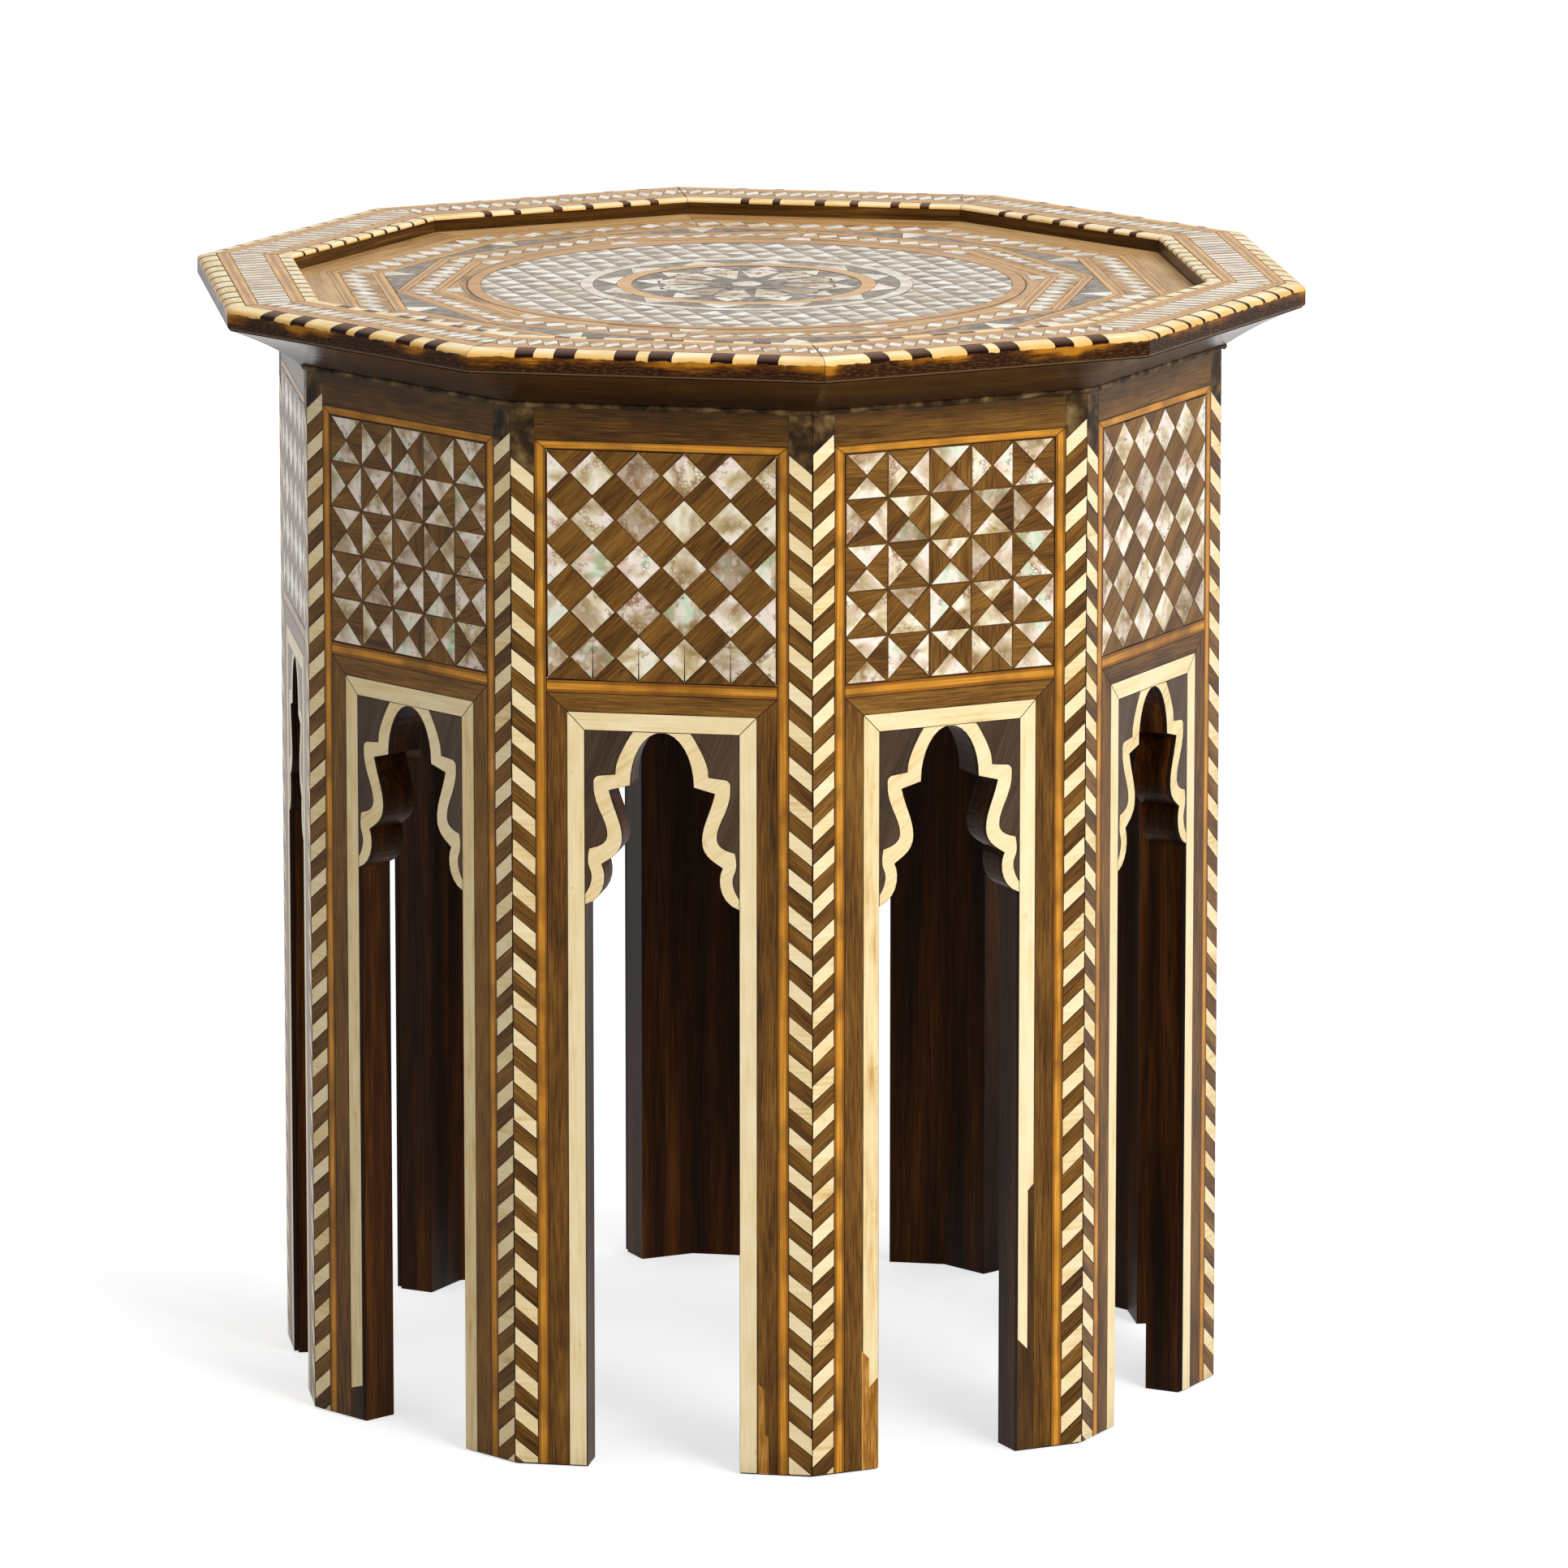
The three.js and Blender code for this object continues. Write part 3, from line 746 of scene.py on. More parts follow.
# %% Cut the band and the spandrels, and join them to a leaf
def arch_part(name, outlines, wood):
    part = filled_shape(name, outlines, leaf_high.y)
    open_piece(part)
    for point, normal in (((opening_edge, 0, 0), (1, 0, 0)), ((-opening_edge, 0, 0), (-1, 0, 0)),
                          ((0, 0, frame_foot), (0, 0, 1)), ((0, 0, arch_foot), (0, 0, -1))):
        trim(point, normal)
    bpy.ops.mesh.select_all(action="SELECT")
    bpy.ops.mesh.remove_doubles(threshold=1.5 * merge_gap)
    thicken(part, (0, groove - leaf_depth, 0))
    lay_woods(part, lambda c: (wood, 0.6 if wood == "lemon" else 1.2))
    choose(part, in_front)
    bpy.ops.mesh.inset(thickness=joint, depth=groove)
    shape = bmesh.from_edit_mesh(part.data)
    number = shape.faces.layers.int["number"]
    for face in shape.faces:
        if face[number]:
            face[number] = 1 + (face.calc_center_median().x > 0) if face.select else 0
            face.material_index = finish_order.index(wood if face.select else "glue")
    bmesh.update_edit_mesh(part.data)
    close_piece()
    return part


board_outline = [(-60 * mm, 250 * mm, True), (60 * mm, 250 * mm, True), (60 * mm, 385 * mm, True),
                 (-60 * mm, 385 * mm, True)]

# %% [markdown]
# ## Grain and tone
# When a leaf is whole, its grain map is worked out from the place of each corner and the angle
# kept on the face. Each leaf is copied round the table, and every copy draws its own tones, so
# the ten sides differ as hand-cut work does. The small pieces also shift and turn by a hair.

# %% Map the grain, and place copies round the table
def map_grain(piece, across=(1, 0, 0), up=(0, 0, 1)):
    mesh = piece.data
    corners = np.empty(len(mesh.loops), int)
    mesh.loops.foreach_get("vertex_index", corners)
    places = np.empty(len(mesh.vertices) * 3)
    mesh.vertices.foreach_get("co", places)
    places = places.reshape(-1, 3)[corners]
    flat = np.stack([places @ np.array(across), places @ np.array(up)], 1)
    lengths = [face.loop_total for face in mesh.polygons]
    numbers = np.repeat(face_values(mesh, "number"), lengths)
    turns = np.repeat(face_values(mesh, "turn", np.float32), lengths)
    low, high = (np.full((numbers.max() + 1, 2), size) for size in (9.0, -9.0))
    np.minimum.at(low, numbers, flat)
    np.maximum.at(high, numbers, flat)
    own = flat - ((low + high) / 2)[numbers]
    c, s = np.cos(turns), np.sin(turns)
    grain = np.stack([own[:, 0] * c + own[:, 1] * s, own[:, 1] * c - own[:, 0] * s], 1)
    layer = mesh.uv_layers.new(name="grain")
    layer.data.foreach_set("uv", grain.astype(np.float32).ravel())


def draw_tones(piece, seed, sway=0.0):
    """Give every inlaid piece a random tone, and sway the small ones by hair's breadths."""
    mesh = piece.data
    numbers = face_values(mesh, "number")
    shared = np.bincount(numbers)
    dice = np.random.default_rng(seed)
    tones = dice.random(numbers.max() + 1)
    layer = mesh.attributes.new("tone", "FLOAT", "FACE")
    layer.data.foreach_set("value", tones[numbers].astype(np.float32))
    for face in mesh.polygons:
        if sway and shared[numbers[face.index]] == 1 and face.area < 320 * mm * mm and len(face.vertices) < 6:
            middle = face.center.copy()
            shift = Vector(dice.uniform(-sway, sway, 3))
            shift -= shift.dot(face.normal) * face.normal
            twist = Matrix.Rotation(dice.uniform(-0.02, 0.02), 3, face.normal)
            for v in face.vertices:
                mesh.vertices[v].co = middle + shift + twist @ (mesh.vertices[v].co - middle)


wear_top = 360 * mm


def wear_piece(piece, patches):
    """Bare the wood at the foot of an upright: each patch has a span in x, a height, a slope and a wood."""
    open_piece(piece)
    for x0, x1, height, slope, wood in patches:
        middle = (x0 + x1) / 2 * mm
        for x in (x0, x1):
            cut(piece, lambda c, n: n.y < -0.5 and c.z < wear_top and abs(c.x - x * mm) < 12 * mm,
                (x * mm, 0, 0), (1, 0, 0))
        cut(piece, lambda c, n: n.y < -0.5 and x0 * mm < c.x < x1 * mm and c.z < wear_top,
            (middle, 0, height * mm), (slope, 0, 1))
        choose(piece, lambda c, n: n.y < -0.5 and x0 * mm < c.x < x1 * mm
               and c.z + slope * (c.x - middle) < height * mm)
        shape = bmesh.from_edit_mesh(piece.data)
        for face in shape.faces:
            if face.select:
                face.material_index = finish_order.index(wood)
        bmesh.update_edit_mesh(piece.data)
    close_piece()


def own_copy(master, name):
    """A copy with its own mesh."""
    piece = master.copy()
    piece.data = master.data.copy()
    piece.name = piece.data.name = name
    bpy.context.collection.objects.link(piece)
    return piece


def place_copy(master, name, k, seed, nodes, sway=0.0, patches=()):
    """Put a worn and toned copy of an inlaid piece at one side of the table."""
    piece = own_copy(master, name)
    if patches:
        wear_piece(piece, patches)
    draw_tones(piece, seed, sway)
    piece.data.transform(Matrix.Rotation(2 * half_angle * k, 4, "Z"))
    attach(piece, "root")
    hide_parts(*nodes)
    return piece


def discard(master):
    bpy.data.objects.remove(master, do_unlink=True)


def place_glue(master, name):
    """Put the same piece of glue at every side of the table."""
    for k in range(side_count):
        piece = own_copy(master, f"{name}_{k + 1:02d}")
        piece.data.transform(Matrix.Rotation(2 * half_angle * k, 4, "Z"))
        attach(piece, "root")
    discard(master)

# %% [markdown]
# Some legs are worn. Near the floor a light strip has broken off here and there, and raw or dark
# wood shows in its place. The patches are listed by side, in millimetres.

# %% Make the two kinds of leaf and place all ten
worn_places = {0: [(46.6, 49.6, 44, 1.5, "raw"), (49.6, 51.4, 20, 0.5, "raw")],
               1: [(-46.4, -42.5, 58, 2.5, "raw"), (-42.5, -37.5, 44, -1.2, "raw"),
                   (42.8, 46.4, 132, -6, "bared"), (37.5, 42.8, 54, 4.5, "bared")],
               4: [(37.5, 46.2, 30, -0.5, "raw")], 6: [(-46.2, -37.5, 24, 0.6, "bared")],
               7: [(37.5, 46.2, 12, 0.2, "raw")], 9: [(-46.4, -37.5, 17, -0.3, "bared")]}
for kind in (1, 2):
    leaf = sawn_leaf("leaf_master")
    saw_strips(leaf, kind)
    lay_woods(leaf, leaf_rule(kind))
    joint_round(leaf, ("walnut", "lemon", "line"), joint)
    close_piece()
    light_band = arch_part("band_master", [whole(band_half), whole(opening_half)], "lemon")
    spandrels = arch_part("spandrel_master", [board_outline, whole(band_half)], "ebony")
    join_parts([leaf, light_band, spandrels])
    map_grain(leaf)
    for k in range(kind - 1, side_count, 2):
        place_copy(leaf, f"marquetry_leaf_{k + 1:02d}", k, 100 + k,
                   [f"marquetry_sheet_{k + 1:02d}"], sway=0.12 * mm, patches=worn_places.get(k, ()))
    print("leaf", kind, "faces", len(leaf.data.polygons))
    discard(leaf)

# %% [markdown]
# ## The pearl mosaics
# Two patterns take turns round the table. In the first, pearl squares stand on their corners in
# five rows, which is the same as sawing the panel along two sets of slanting lines. In the
# second, a grid of five by five squares is split along the diagonals, and pearl and walnut
# triangles face each other, so the poke tool makes it.

# %% Mosaic panels
panel_width = panel_high.x - panel_low.x
panel_height = panel_high.z - panel_low.z
panel_middle = (panel_low.z + panel_high.z) / 2
cell = panel_width / 5


def standing_squares():
    panel = flat_sheet("mosaic_master", panel_low.x, panel_high.x, panel_low.z, panel_high.z, panel_high.y)
    open_piece(panel)
    thicken(panel, (0, groove - leaf_depth, 0))
    for k in range(-4, 5):
        for lean in (-1, 1):
            cut(panel, in_front, (k * cell, 0, panel_middle), (1, 0, lean))

    def rule(c):
        i = math.floor((c.x + c.z - panel_middle) / cell)
        j = math.floor((c.x - c.z + panel_middle) / cell)
        return ("pearl", 0.0) if (i - j) % 2 == 0 else ("walnut", math.pi / 4)
    lay_woods(panel, rule)
    return panel


def split_squares():
    bpy.ops.object.select_all(action="DESELECT")
    bpy.ops.mesh.primitive_grid_add(x_subdivisions=5, y_subdivisions=5, size=1,
                                    location=(0, panel_high.y, panel_middle), rotation=(math.pi / 2, 0, 0))
    panel = bpy.context.object
    panel.scale = (panel_width, panel_height, 1)
    bpy.ops.object.transform_apply()
    open_piece(panel)
    thicken(panel, (0, groove - leaf_depth, 0))
    choose(panel, in_front)
    bpy.ops.mesh.poke()

    def rule(c):
        u, w = (c.x - panel_low.x) / cell, (panel_high.z - c.z) / cell
        upright = abs(u % 1 - 0.5) < abs(w % 1 - 0.5)
        pearly = upright == ((int(u) + int(w)) % 2 == 0)
        angle = (0.0, 0.9, math.pi / 2, 0.3)[(int(u) * 3 + int(w) * 2 + upright) % 4]
        return ("pearl", 0.0) if pearly else ("walnut", angle)
    lay_woods(panel, rule)
    return panel


for kind, build in ((1, standing_squares), (2, split_squares)):
    panel = build()
    joint_round(panel, ("walnut",), 0.1 * mm)
    joint_round(panel, ("pearl",), 0.34 * mm, depth=0, ring="walnut")
    joint_round(panel, ("pearl",), 0.12 * mm)
    close_piece()
    map_grain(panel)
    for k in range(kind - 1, side_count, 2):
        place_copy(panel, f"pearl_panel_{k + 1:02d}", k, 300 + k,
                   [f"mosaic_panel_{k + 1:02d}"], sway=0.2 * mm)
    print("mosaic", kind, "faces", len(panel.data.polygons))
    discard(panel)

# %% [markdown]
# ## The rim
# Ten mitred lengths make the rim. The section is drawn once, with a corner wherever one inlay
# line ends and the next begins, and pulled along the side, so each line comes out as its own
# strip. The saw then mitres the ends, cuts the pearl band into skewed diamonds or into slanted
# bars, and parts the light and dark blocks of the two edgings. A thin double cut between blocks
# leaves a sliver for the glue.

# %% Section of a rim length, as distance from the middle of the table and height
rim_in, rim_out = -rim_high.y, -rim_low.y
rim_top, rim_under = rim_high.z, rim_low.z
skin = rim_top - groove
rim_lines = [224.4 * mm, 231.4 * mm, 247.9 * mm, 254.4 * mm]
step_out = 224.75 * mm
section = [(rim_in, rim_under + 2.3 * mm), (rim_in, rim_top - 2.0 * mm),
           (rim_in + 0.2 * mm, rim_top - 1.0 * mm), (rim_in + 0.9 * mm, rim_top - 0.3 * mm),
           (rim_in + 2.0 * mm, skin),
           (rim_lines[0] - glue_gap / 2, skin), (rim_lines[0] + glue_gap / 2, skin),
           (rim_lines[1], skin), (rim_lines[2], skin),
           (rim_lines[3] - glue_gap / 2, skin), (rim_lines[3] + glue_gap / 2, skin)]
roll = rim_out - rim_lines[3] - glue_gap / 2
section += [(rim_out - roll * (1 - math.sin(t)), skin - 2.6 * mm * (1 - math.cos(t)))
            for t in np.radians([15, 30, 45, 60, 75, 90])]
section += [(rim_out, rim_top - 4.2 * mm), (rim_out, rim_under + 1.6 * mm),
            (rim_out - 0.5 * mm, rim_under + 0.5 * mm), (rim_out - 1.6 * mm, rim_under),
            (step_out, rim_under), (step_out, rim_under + 2.3 * mm)]
outer_block_foot = rim_top - 4.3 * mm
inner_block_foot = rim_top - 2.1 * mm
blocks = np.cumsum([-85.5, 23.0, 8.7, 9.9, 9.9, 19.0, 10.3, 6.0, 11.1, 18.7, 10.3, 11.9, 9.9]) * mm


def upward(centre, normal):
    return normal.z > 0.5


def in_diamond(along, rise, pitch, slopes):
    """Two sets of slanting cuts meet on both edges of a band, and the cells between are diamonds."""
    falling = math.floor((along + slopes[1] * rise) / pitch)
    rising = math.floor((along - slopes[0] * rise) / pitch)
    return falling - rising == 1


def diamond_slopes(pitch, width, skew=0.68):
    """How far the two sets of cuts run sideways for each step across a band of this width."""
    return 2 * pitch / width * skew, 2 * pitch / width * (1 - skew)


def rim_length(name, block_ends, first, bars, pitch=7.5 * mm, share=0.64, lean=0.2):
    rim = filled_shape(name, [[(a, z, True) for a, z in section]], -90 * mm)
    rim.rotation_euler = (0, 0, -math.pi / 2)
    bpy.ops.object.transform_apply()
    open_piece(rim)
    bpy.ops.mesh.select_all(action="SELECT")
    bpy.ops.mesh.dissolve_faces()
    thicken(rim, (180 * mm, 0, 0))
    mitre_ends(glue_gap)
    slopes = diamond_slopes(pitch, rim_lines[2] - rim_lines[1])
    for i in range(-13, 14):
        for start, slope in ((0, -lean), (share, -lean)) if bars else ((0, slopes[0]), (0, -slopes[1])):
            cut(rim, lambda c, n: n.z > 0.9 and rim_lines[1] < -c.y < rim_lines[2],
                (first + (i + start) * pitch, -rim_lines[2], 0), (1, -slope, 0))

    def outside(c, n):
        return c.z > outer_block_foot and -c.y > rim_lines[3] + glue_gap / 2 and n.y < 0.1

    def inside(c, n):
        return c.z > inner_block_foot and -c.y < rim_lines[0] - glue_gap / 2 and n.z > 0.01

    narrow = rim_in / rim_out
    for end in block_ends:
        for gap in (-glue_gap / 2, glue_gap / 2):
            cut(rim, outside, (end + gap, 0, 0), (1, 0, 0))
            cut(rim, inside, (end * narrow + gap, 0, 0), (1, 0, 0))

    def rule(c):
        a = -c.y
        if c.z < outer_block_foot or c.z < inner_block_foot and a < rim_lines[0]:
            return ("inner wall", 0.0, "wall") if a < step_out else ("rim side", 0.0, "side")
        if a < rim_lines[0] - glue_gap / 2 or a > rim_lines[3] + glue_gap / 2:
            ends = block_ends * (narrow if a < rim_lines[0] else 1)
            if min(abs(ends - c.x)) < glue_gap / 2:
                return "glue", 0.0
            block = int(np.searchsorted(ends, c.x))
            return "dark edging" if block % 2 else "light edging", 0.0, a < rim_lines[0], block
        if rim_lines[1] < a < rim_lines[2]:
            along, rise = c.x - first, rim_lines[2] - a
            in_bar = (along + lean * rise) / pitch % 1 < share
            pearly = in_bar if bars else in_diamond(along, rise, pitch, slopes)
            return ("clear pearl" if pearly else "tray walnut"), math.pi / 2
        if min(abs(a - rim_lines[0]), abs(a - rim_lines[3])) < glue_gap / 2:
            return "glue", 0.0
        return "tray line", 0.0
    lay_woods(rim, rule, lambda c, n: True)
    joint_round(rim, ("tray line", "clear pearl"), joint)
    joint_round(rim, ("tray walnut",), thin_joint)
    close_piece()
    map_grain(rim, up=(0, 1, -1))
    return rim

# %% Make four lengths and place all ten
thin_blocks = np.cumsum([-76.5, 2.6, 13.4, 2.2, 14.9, 3.0, 12.6, 2.6, 13.8, 2.8, 14.6, 2.2, 12.8, 3.0, 14.2,
                         2.4, 13.6, 2.8, 12.9, 2.4]) * mm
sparse_blocks = np.cumsum([-66.0, 5.5, 13.5, 5.0, 20.5, 5.0, 16.0, 6.0, 22.0, 4.5, 15.0, 5.0]) * mm
for kind, (ends, first, bars, places) in enumerate([
        (blocks[1:], 1.2 * mm, False, (0,)), (-blocks[:0:-1] + 1.5 * mm, -1.0 * mm, False, (1, 9)),
        (thin_blocks, 0.5 * mm, True, (2, 3, 7, 8)), (sparse_blocks, 2 * mm, False, (4, 5, 6))]):
    rim = rim_length("rim_master", ends, first, bars)
    for k in places:
        place_copy(rim, f"inlaid_rim_{k + 1:02d}", k, 500 + k, [f"rim_length_{k + 1:02d}"],
                   sway=0.1 * mm)
    print("rim", kind, "faces", len(rim.data.polygons))
    discard(rim)

# %% [markdown]
# ## Squeezed-out glue
# Where the moulding meets the leaves, old glue and dirt stand out of the joint as a thin ragged
# bead. A rod is divided along its length, roughened with a displacement and mitred at the ends.

# %% A bead of old glue under each length of moulding
bead_out = -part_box("cornice_moulding_01")[1].y + 0.6 * mm
bead_top = leaf_high.z - 12.2 * mm
bpy.ops.object.select_all(action="DESELECT")
bpy.ops.mesh.primitive_cylinder_add(vertices=7, radius=1.5 * mm, depth=2 * half_width + 4 * mm,
                                    location=(0, -bead_out, bead_top), rotation=(0, math.pi / 2, 0))
bead = bpy.context.object
bpy.ops.object.transform_apply()
open_piece(bead)
bpy.ops.mesh.select_mode(type="EDGE")
shape = bmesh.from_edit_mesh(bead.data)
for edge in shape.edges:
    edge.select_set(abs(edge.verts[0].co.x - edge.verts[1].co.x) > 50 * mm)
bmesh.update_edit_mesh(bead.data)
bpy.ops.mesh.subdivide(number_cuts=70)
close_piece()
lumps = bpy.data.textures.new("glue_lumps", "CLOUDS")
lumps.noise_scale = 8 * mm
ragged = bead.modifiers.new("ragged", "DISPLACE")
ragged.texture = lumps
ragged.strength = 2.4 * mm
ragged.mid_level = 0.45
bpy.ops.object.modifier_apply(modifier="ragged")
open_piece(bead)
mitre_ends()
close_piece()
bead.data.materials.append(old_putty)
print("bead faces", len(bead.data.polygons))
place_glue(bead, "glue_bead")

# %% [markdown]
# Glue also fills the mitres. In the solids each mitre is a thin gap, and without its glue one
# could look through the table along it. The film is the end face of a board and of a moulding,
# copied off the solids and pulled out by the width of the gap.

# %% Glue films in the mitres
mitre = Vector((math.cos(half_angle), math.sin(half_angle), 0))
film_play = 0.01 * mm
films = []
for node in (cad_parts["side_board_01"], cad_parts["cornice_moulding_01"]):
    film = bpy.data.objects.new("film", node.data.copy())
    film.data.transform(node.matrix_world)
    film.data.materials.clear()
    bpy.context.collection.objects.link(film)
    open_piece(film)
    bpy.ops.mesh.select_all(action="SELECT")
    bpy.ops.mesh.remove_doubles(threshold=merge_gap / 2)
    choose(film, lambda c, n: n.dot(mitre) < 0.99 or abs(c.dot(mitre)) > mm)
    bpy.ops.mesh.delete(type="FACE")
    thicken(film, mitre * (glue_gap - 2 * film_play))
    close_piece()
    films.append(film)
select_only(*films)
bpy.ops.object.join()
mitre_film = films[0]
mitre_film.data.transform(Matrix.Translation(mitre * film_play))
mitre_film.data.materials.append(glue_line)
print("film faces", len(mitre_film.data.polygons), "box", [round(v / mm, 1) for v in mitre_film.dimensions])
place_glue(mitre_film, "mitre_glue")

# %% [markdown]
# ## The field of the tray
# Two ten-sided frames lie in the walnut ground, and the inner one is turned by half a side, so
# its corners touch the outer frame. Each frame is a row of pearl diamonds between two orange
# lines. A ten-sided face is inset again and again for the outer frame, ten straight cuts turn
# it, and further insets make the inner frame. The corners left over hold a pearl kite between
# two tips of dark horn.

# %% Frames of the tray
tray_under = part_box("tray_field")[0].z
tray_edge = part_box("tray_field")[1].y
frame_one = [tray_edge, 201 * mm, 195.5 * mm, 179.6 * mm, 173.6 * mm]
frame_two = [164.8 * mm, 159.6 * mm, 147.6 * mm, 142.1 * mm]
pitch_one, pitch_two = 13 * mm, 11.5 * mm


def toward(angle, distance=1.0, aside=0.0):
    """A point at a distance in a direction, with the first direction facing the front."""
    c, s = math.cos(angle - math.pi / 2), math.sin(angle - math.pi / 2)
    return Vector((c * distance - s * aside, s * distance + c * aside, 0))


def reach(place, start):
    """How far out a place lies, measured square to the nearest of ten sides, and its side."""
    side = round((math.atan2(place.y, place.x) + math.pi / 2 - start) / (2 * half_angle)) % side_count
    return place.to_2d().dot(toward(start + 2 * half_angle * side).to_2d()), side


def diamond_band(piece, low, high, start, pitch):
    slopes = diamond_slopes(pitch, high - low)
    for side in range(side_count):
        angle = start + 2 * half_angle * side
        for i in range(-7, 8):
            for slope in (slopes[0], -slopes[1]):
                cut(piece, lambda c, n: n.z > 0.5 and low < reach(c, start)[0] < high
                    and reach(c, start)[1] == side,
                    toward(angle, high, i * pitch), toward(angle + math.pi / 2) + slope * toward(angle))


def diamond_wood(c, low, high, angle, pitch):
    pearly = in_diamond(c.dot(toward(angle + math.pi / 2)), high - c.dot(toward(angle)), pitch,
                        diamond_slopes(pitch, high - low))
    return ("clear pearl" if pearly else "tray walnut"), angle + math.pi / 2


bpy.ops.object.select_all(action="DESELECT")
bpy.ops.mesh.primitive_circle_add(vertices=side_count, radius=tray_edge / math.cos(half_angle),
                                  fill_type="NGON", location=(0, 0, tray_under), rotation=(0, 0, half_angle))
tray = bpy.context.object
bpy.ops.object.transform_apply()
open_piece(tray)
bpy.ops.mesh.select_all(action="SELECT")
for outer, inner in zip(frame_one, frame_one[1:]):
    bpy.ops.mesh.inset(thickness=outer - inner, depth=0)
for side in range(side_count):
    angle = half_angle * (2 * side + 1)
    cut(tray, lambda c, n: c.to_2d().length < 30 * mm, toward(angle, frame_two[0]), toward(angle))
choose(tray, lambda c, n: c.to_2d().length < 10 * mm)
for outer, inner in zip(frame_two, frame_two[1:]):
    bpy.ops.mesh.inset(thickness=outer - inner, depth=0)
bpy.ops.mesh.delete(type="FACE")
for side in range(side_count):
    angle = half_angle * (2 * side + 1)
    for lean in (-1, 1):
        cut(tray, lambda c, n: frame_two[0] < reach(c, half_angle)[0] and reach(c, 0)[0] < frame_one[-1],
            toward(angle, frame_two[0]), toward(angle + lean * math.radians(63.5)))
thicken(tray, (0, 0, tray_floor - groove - tray_under))
diamond_band(tray, frame_one[3], frame_one[2], 0, pitch_one)
diamond_band(tray, frame_two[2], frame_two[1], half_angle, pitch_two)
print("tray faces", len(tray.data.polygons))

# %% Woods of the tray
def tray_rule(c):
    one, side_one = reach(c, 0)
    two, side_two = reach(c, half_angle)
    along_one = 2 * half_angle * side_one
    along_two = along_one if two > frame_two[0] else half_angle * (2 * side_two + 1)
    if one > frame_one[1]:
        return "tray walnut", along_one
    if one > frame_one[2] or frame_one[4] < one < frame_one[3]:
        return "tray line", along_one
    if one > frame_one[3]:
        return diamond_wood(c, frame_one[3], frame_one[2], along_one, pitch_one)
    if two > frame_two[0]:
        aside = abs(c.dot(toward(half_angle * (2 * side_two + 1) + math.pi / 2)))
        return ("clear pearl" if aside < 8 * mm else "horn"), along_one
    if two > frame_two[1] or two < frame_two[2]:
        return "tray line", along_two
    return diamond_wood(c, frame_two[2], frame_two[1], along_two, pitch_two)


lay_woods(tray, tray_rule, upward)
joint_round(tray, ("tray line", "clear pearl", "horn"), joint)
joint_round(tray, ("tray walnut",), thin_joint)
close_piece()

# %% [markdown]
# Between the inner frame and the round medallion the walnut ground goes on, and a small pearl
# piece fills each corner. The ground is a filled curve, a ten-sided outline with a round hole.

# %% Ground round the medallion
def polygon(count, radius, start=0.0):
    angles = [start + 2 * math.pi * i / count for i in range(count)]
    return [(radius * math.sin(angle), -radius * math.cos(angle), True) for angle in angles]


medallion_edge = 137.74 * mm
round_steps = 90
corner_foot = 141 * mm
ground = filled_shape("ground", [polygon(side_count, frame_two[-1] / math.cos(half_angle)),
                                 polygon(round_steps, medallion_edge)], tray_under, lying=True)
open_piece(ground)
for side in range(side_count // 2):
    bpy.ops.mesh.select_all(action="SELECT")
    bpy.ops.mesh.bisect(plane_co=(0, 0, 0), plane_no=toward(half_angle * (2 * side + 1) + math.pi / 2))
for side in range(side_count):
    choose(ground, lambda c, n: reach(c, 0)[1] == side)
    bpy.ops.mesh.dissolve_faces()
    for distance, aside, direction in ((140.2, 0, 0), (140.2, 7.5, 75), (140.2, -7.5, -75)):
        cut(ground, lambda c, n: reach(c, 0)[1] == side
            and (direction == 0 or c.to_2d().length > corner_foot),
            toward(2 * half_angle * side, distance * mm, aside * mm),
            toward(2 * half_angle * side + math.radians(direction)))
thicken(ground, (0, 0, tray_floor - groove - tray_under))


def ground_rule(c):
    side = 2 * half_angle * reach(c, 0)[1]
    in_corner = abs(c.dot(toward(side + math.pi / 2))) < 4 * mm and c.to_2d().length > corner_foot
    return ("clear pearl", side) if in_corner else ("tray walnut", side)


lay_woods(ground, ground_rule, upward)
joint_round(ground, ("clear pearl",), joint)
close_piece()
join_parts([tray, ground])
map_grain(tray, up=(0, 1, 0))
place_copy(tray, "tray_inlay", 0, 700, ["tray_field"], sway=0.15 * mm)
discard(tray)

# %% [markdown]
# ## The medallion
# Its ground is a lattice of pearl and dark horn triangles. A hexagon cut into triangles and
# subdivided is such a lattice. A ring of pale orange wood frames it. In the middle lie a pearl
# ring, a dark ring with pearl teeth, a second wooden ring, and a dark disc with more teeth,
# twelve pearl kites with wooden eyes, a dark star and a pearl dot. They are laid on as thin
# plates just below the tray's surface, and the lattice lies lower and runs under their edges.

# %% Lattice of triangles
medallion_rim = 137.4  # in millimetres
lattice_in, lattice_out = 72 * mm, 146 * mm
row = 12.47 * mm
lattice_side = row / math.cos(math.pi / 6)
shift = Vector((lattice_side / 2, 4.76 * mm, 0))
bpy.ops.object.select_all(action="DESELECT")
bpy.ops.mesh.primitive_circle_add(vertices=6, radius=lattice_side * 12, fill_type="TRIFAN",
                                  location=(shift.x, shift.y, tray_under), rotation=(0, 0, math.pi / 6))
lattice = bpy.context.object
bpy.ops.object.transform_apply()
open_piece(lattice)
bpy.ops.mesh.select_all(action="SELECT")
bpy.ops.mesh.subdivide(number_cuts=11)
choose(lattice, lambda c, n: not lattice_in < c.to_2d().length < lattice_out)
bpy.ops.mesh.delete(type="FACE")
half_turn_trims = 18
for i in range(2 * half_turn_trims):
    angle = i * math.pi / half_turn_trims
    trim(toward(angle, 136.5 * mm), toward(angle))
thicken(lattice, (0, 0, tray_floor - 2 * groove - tray_under))


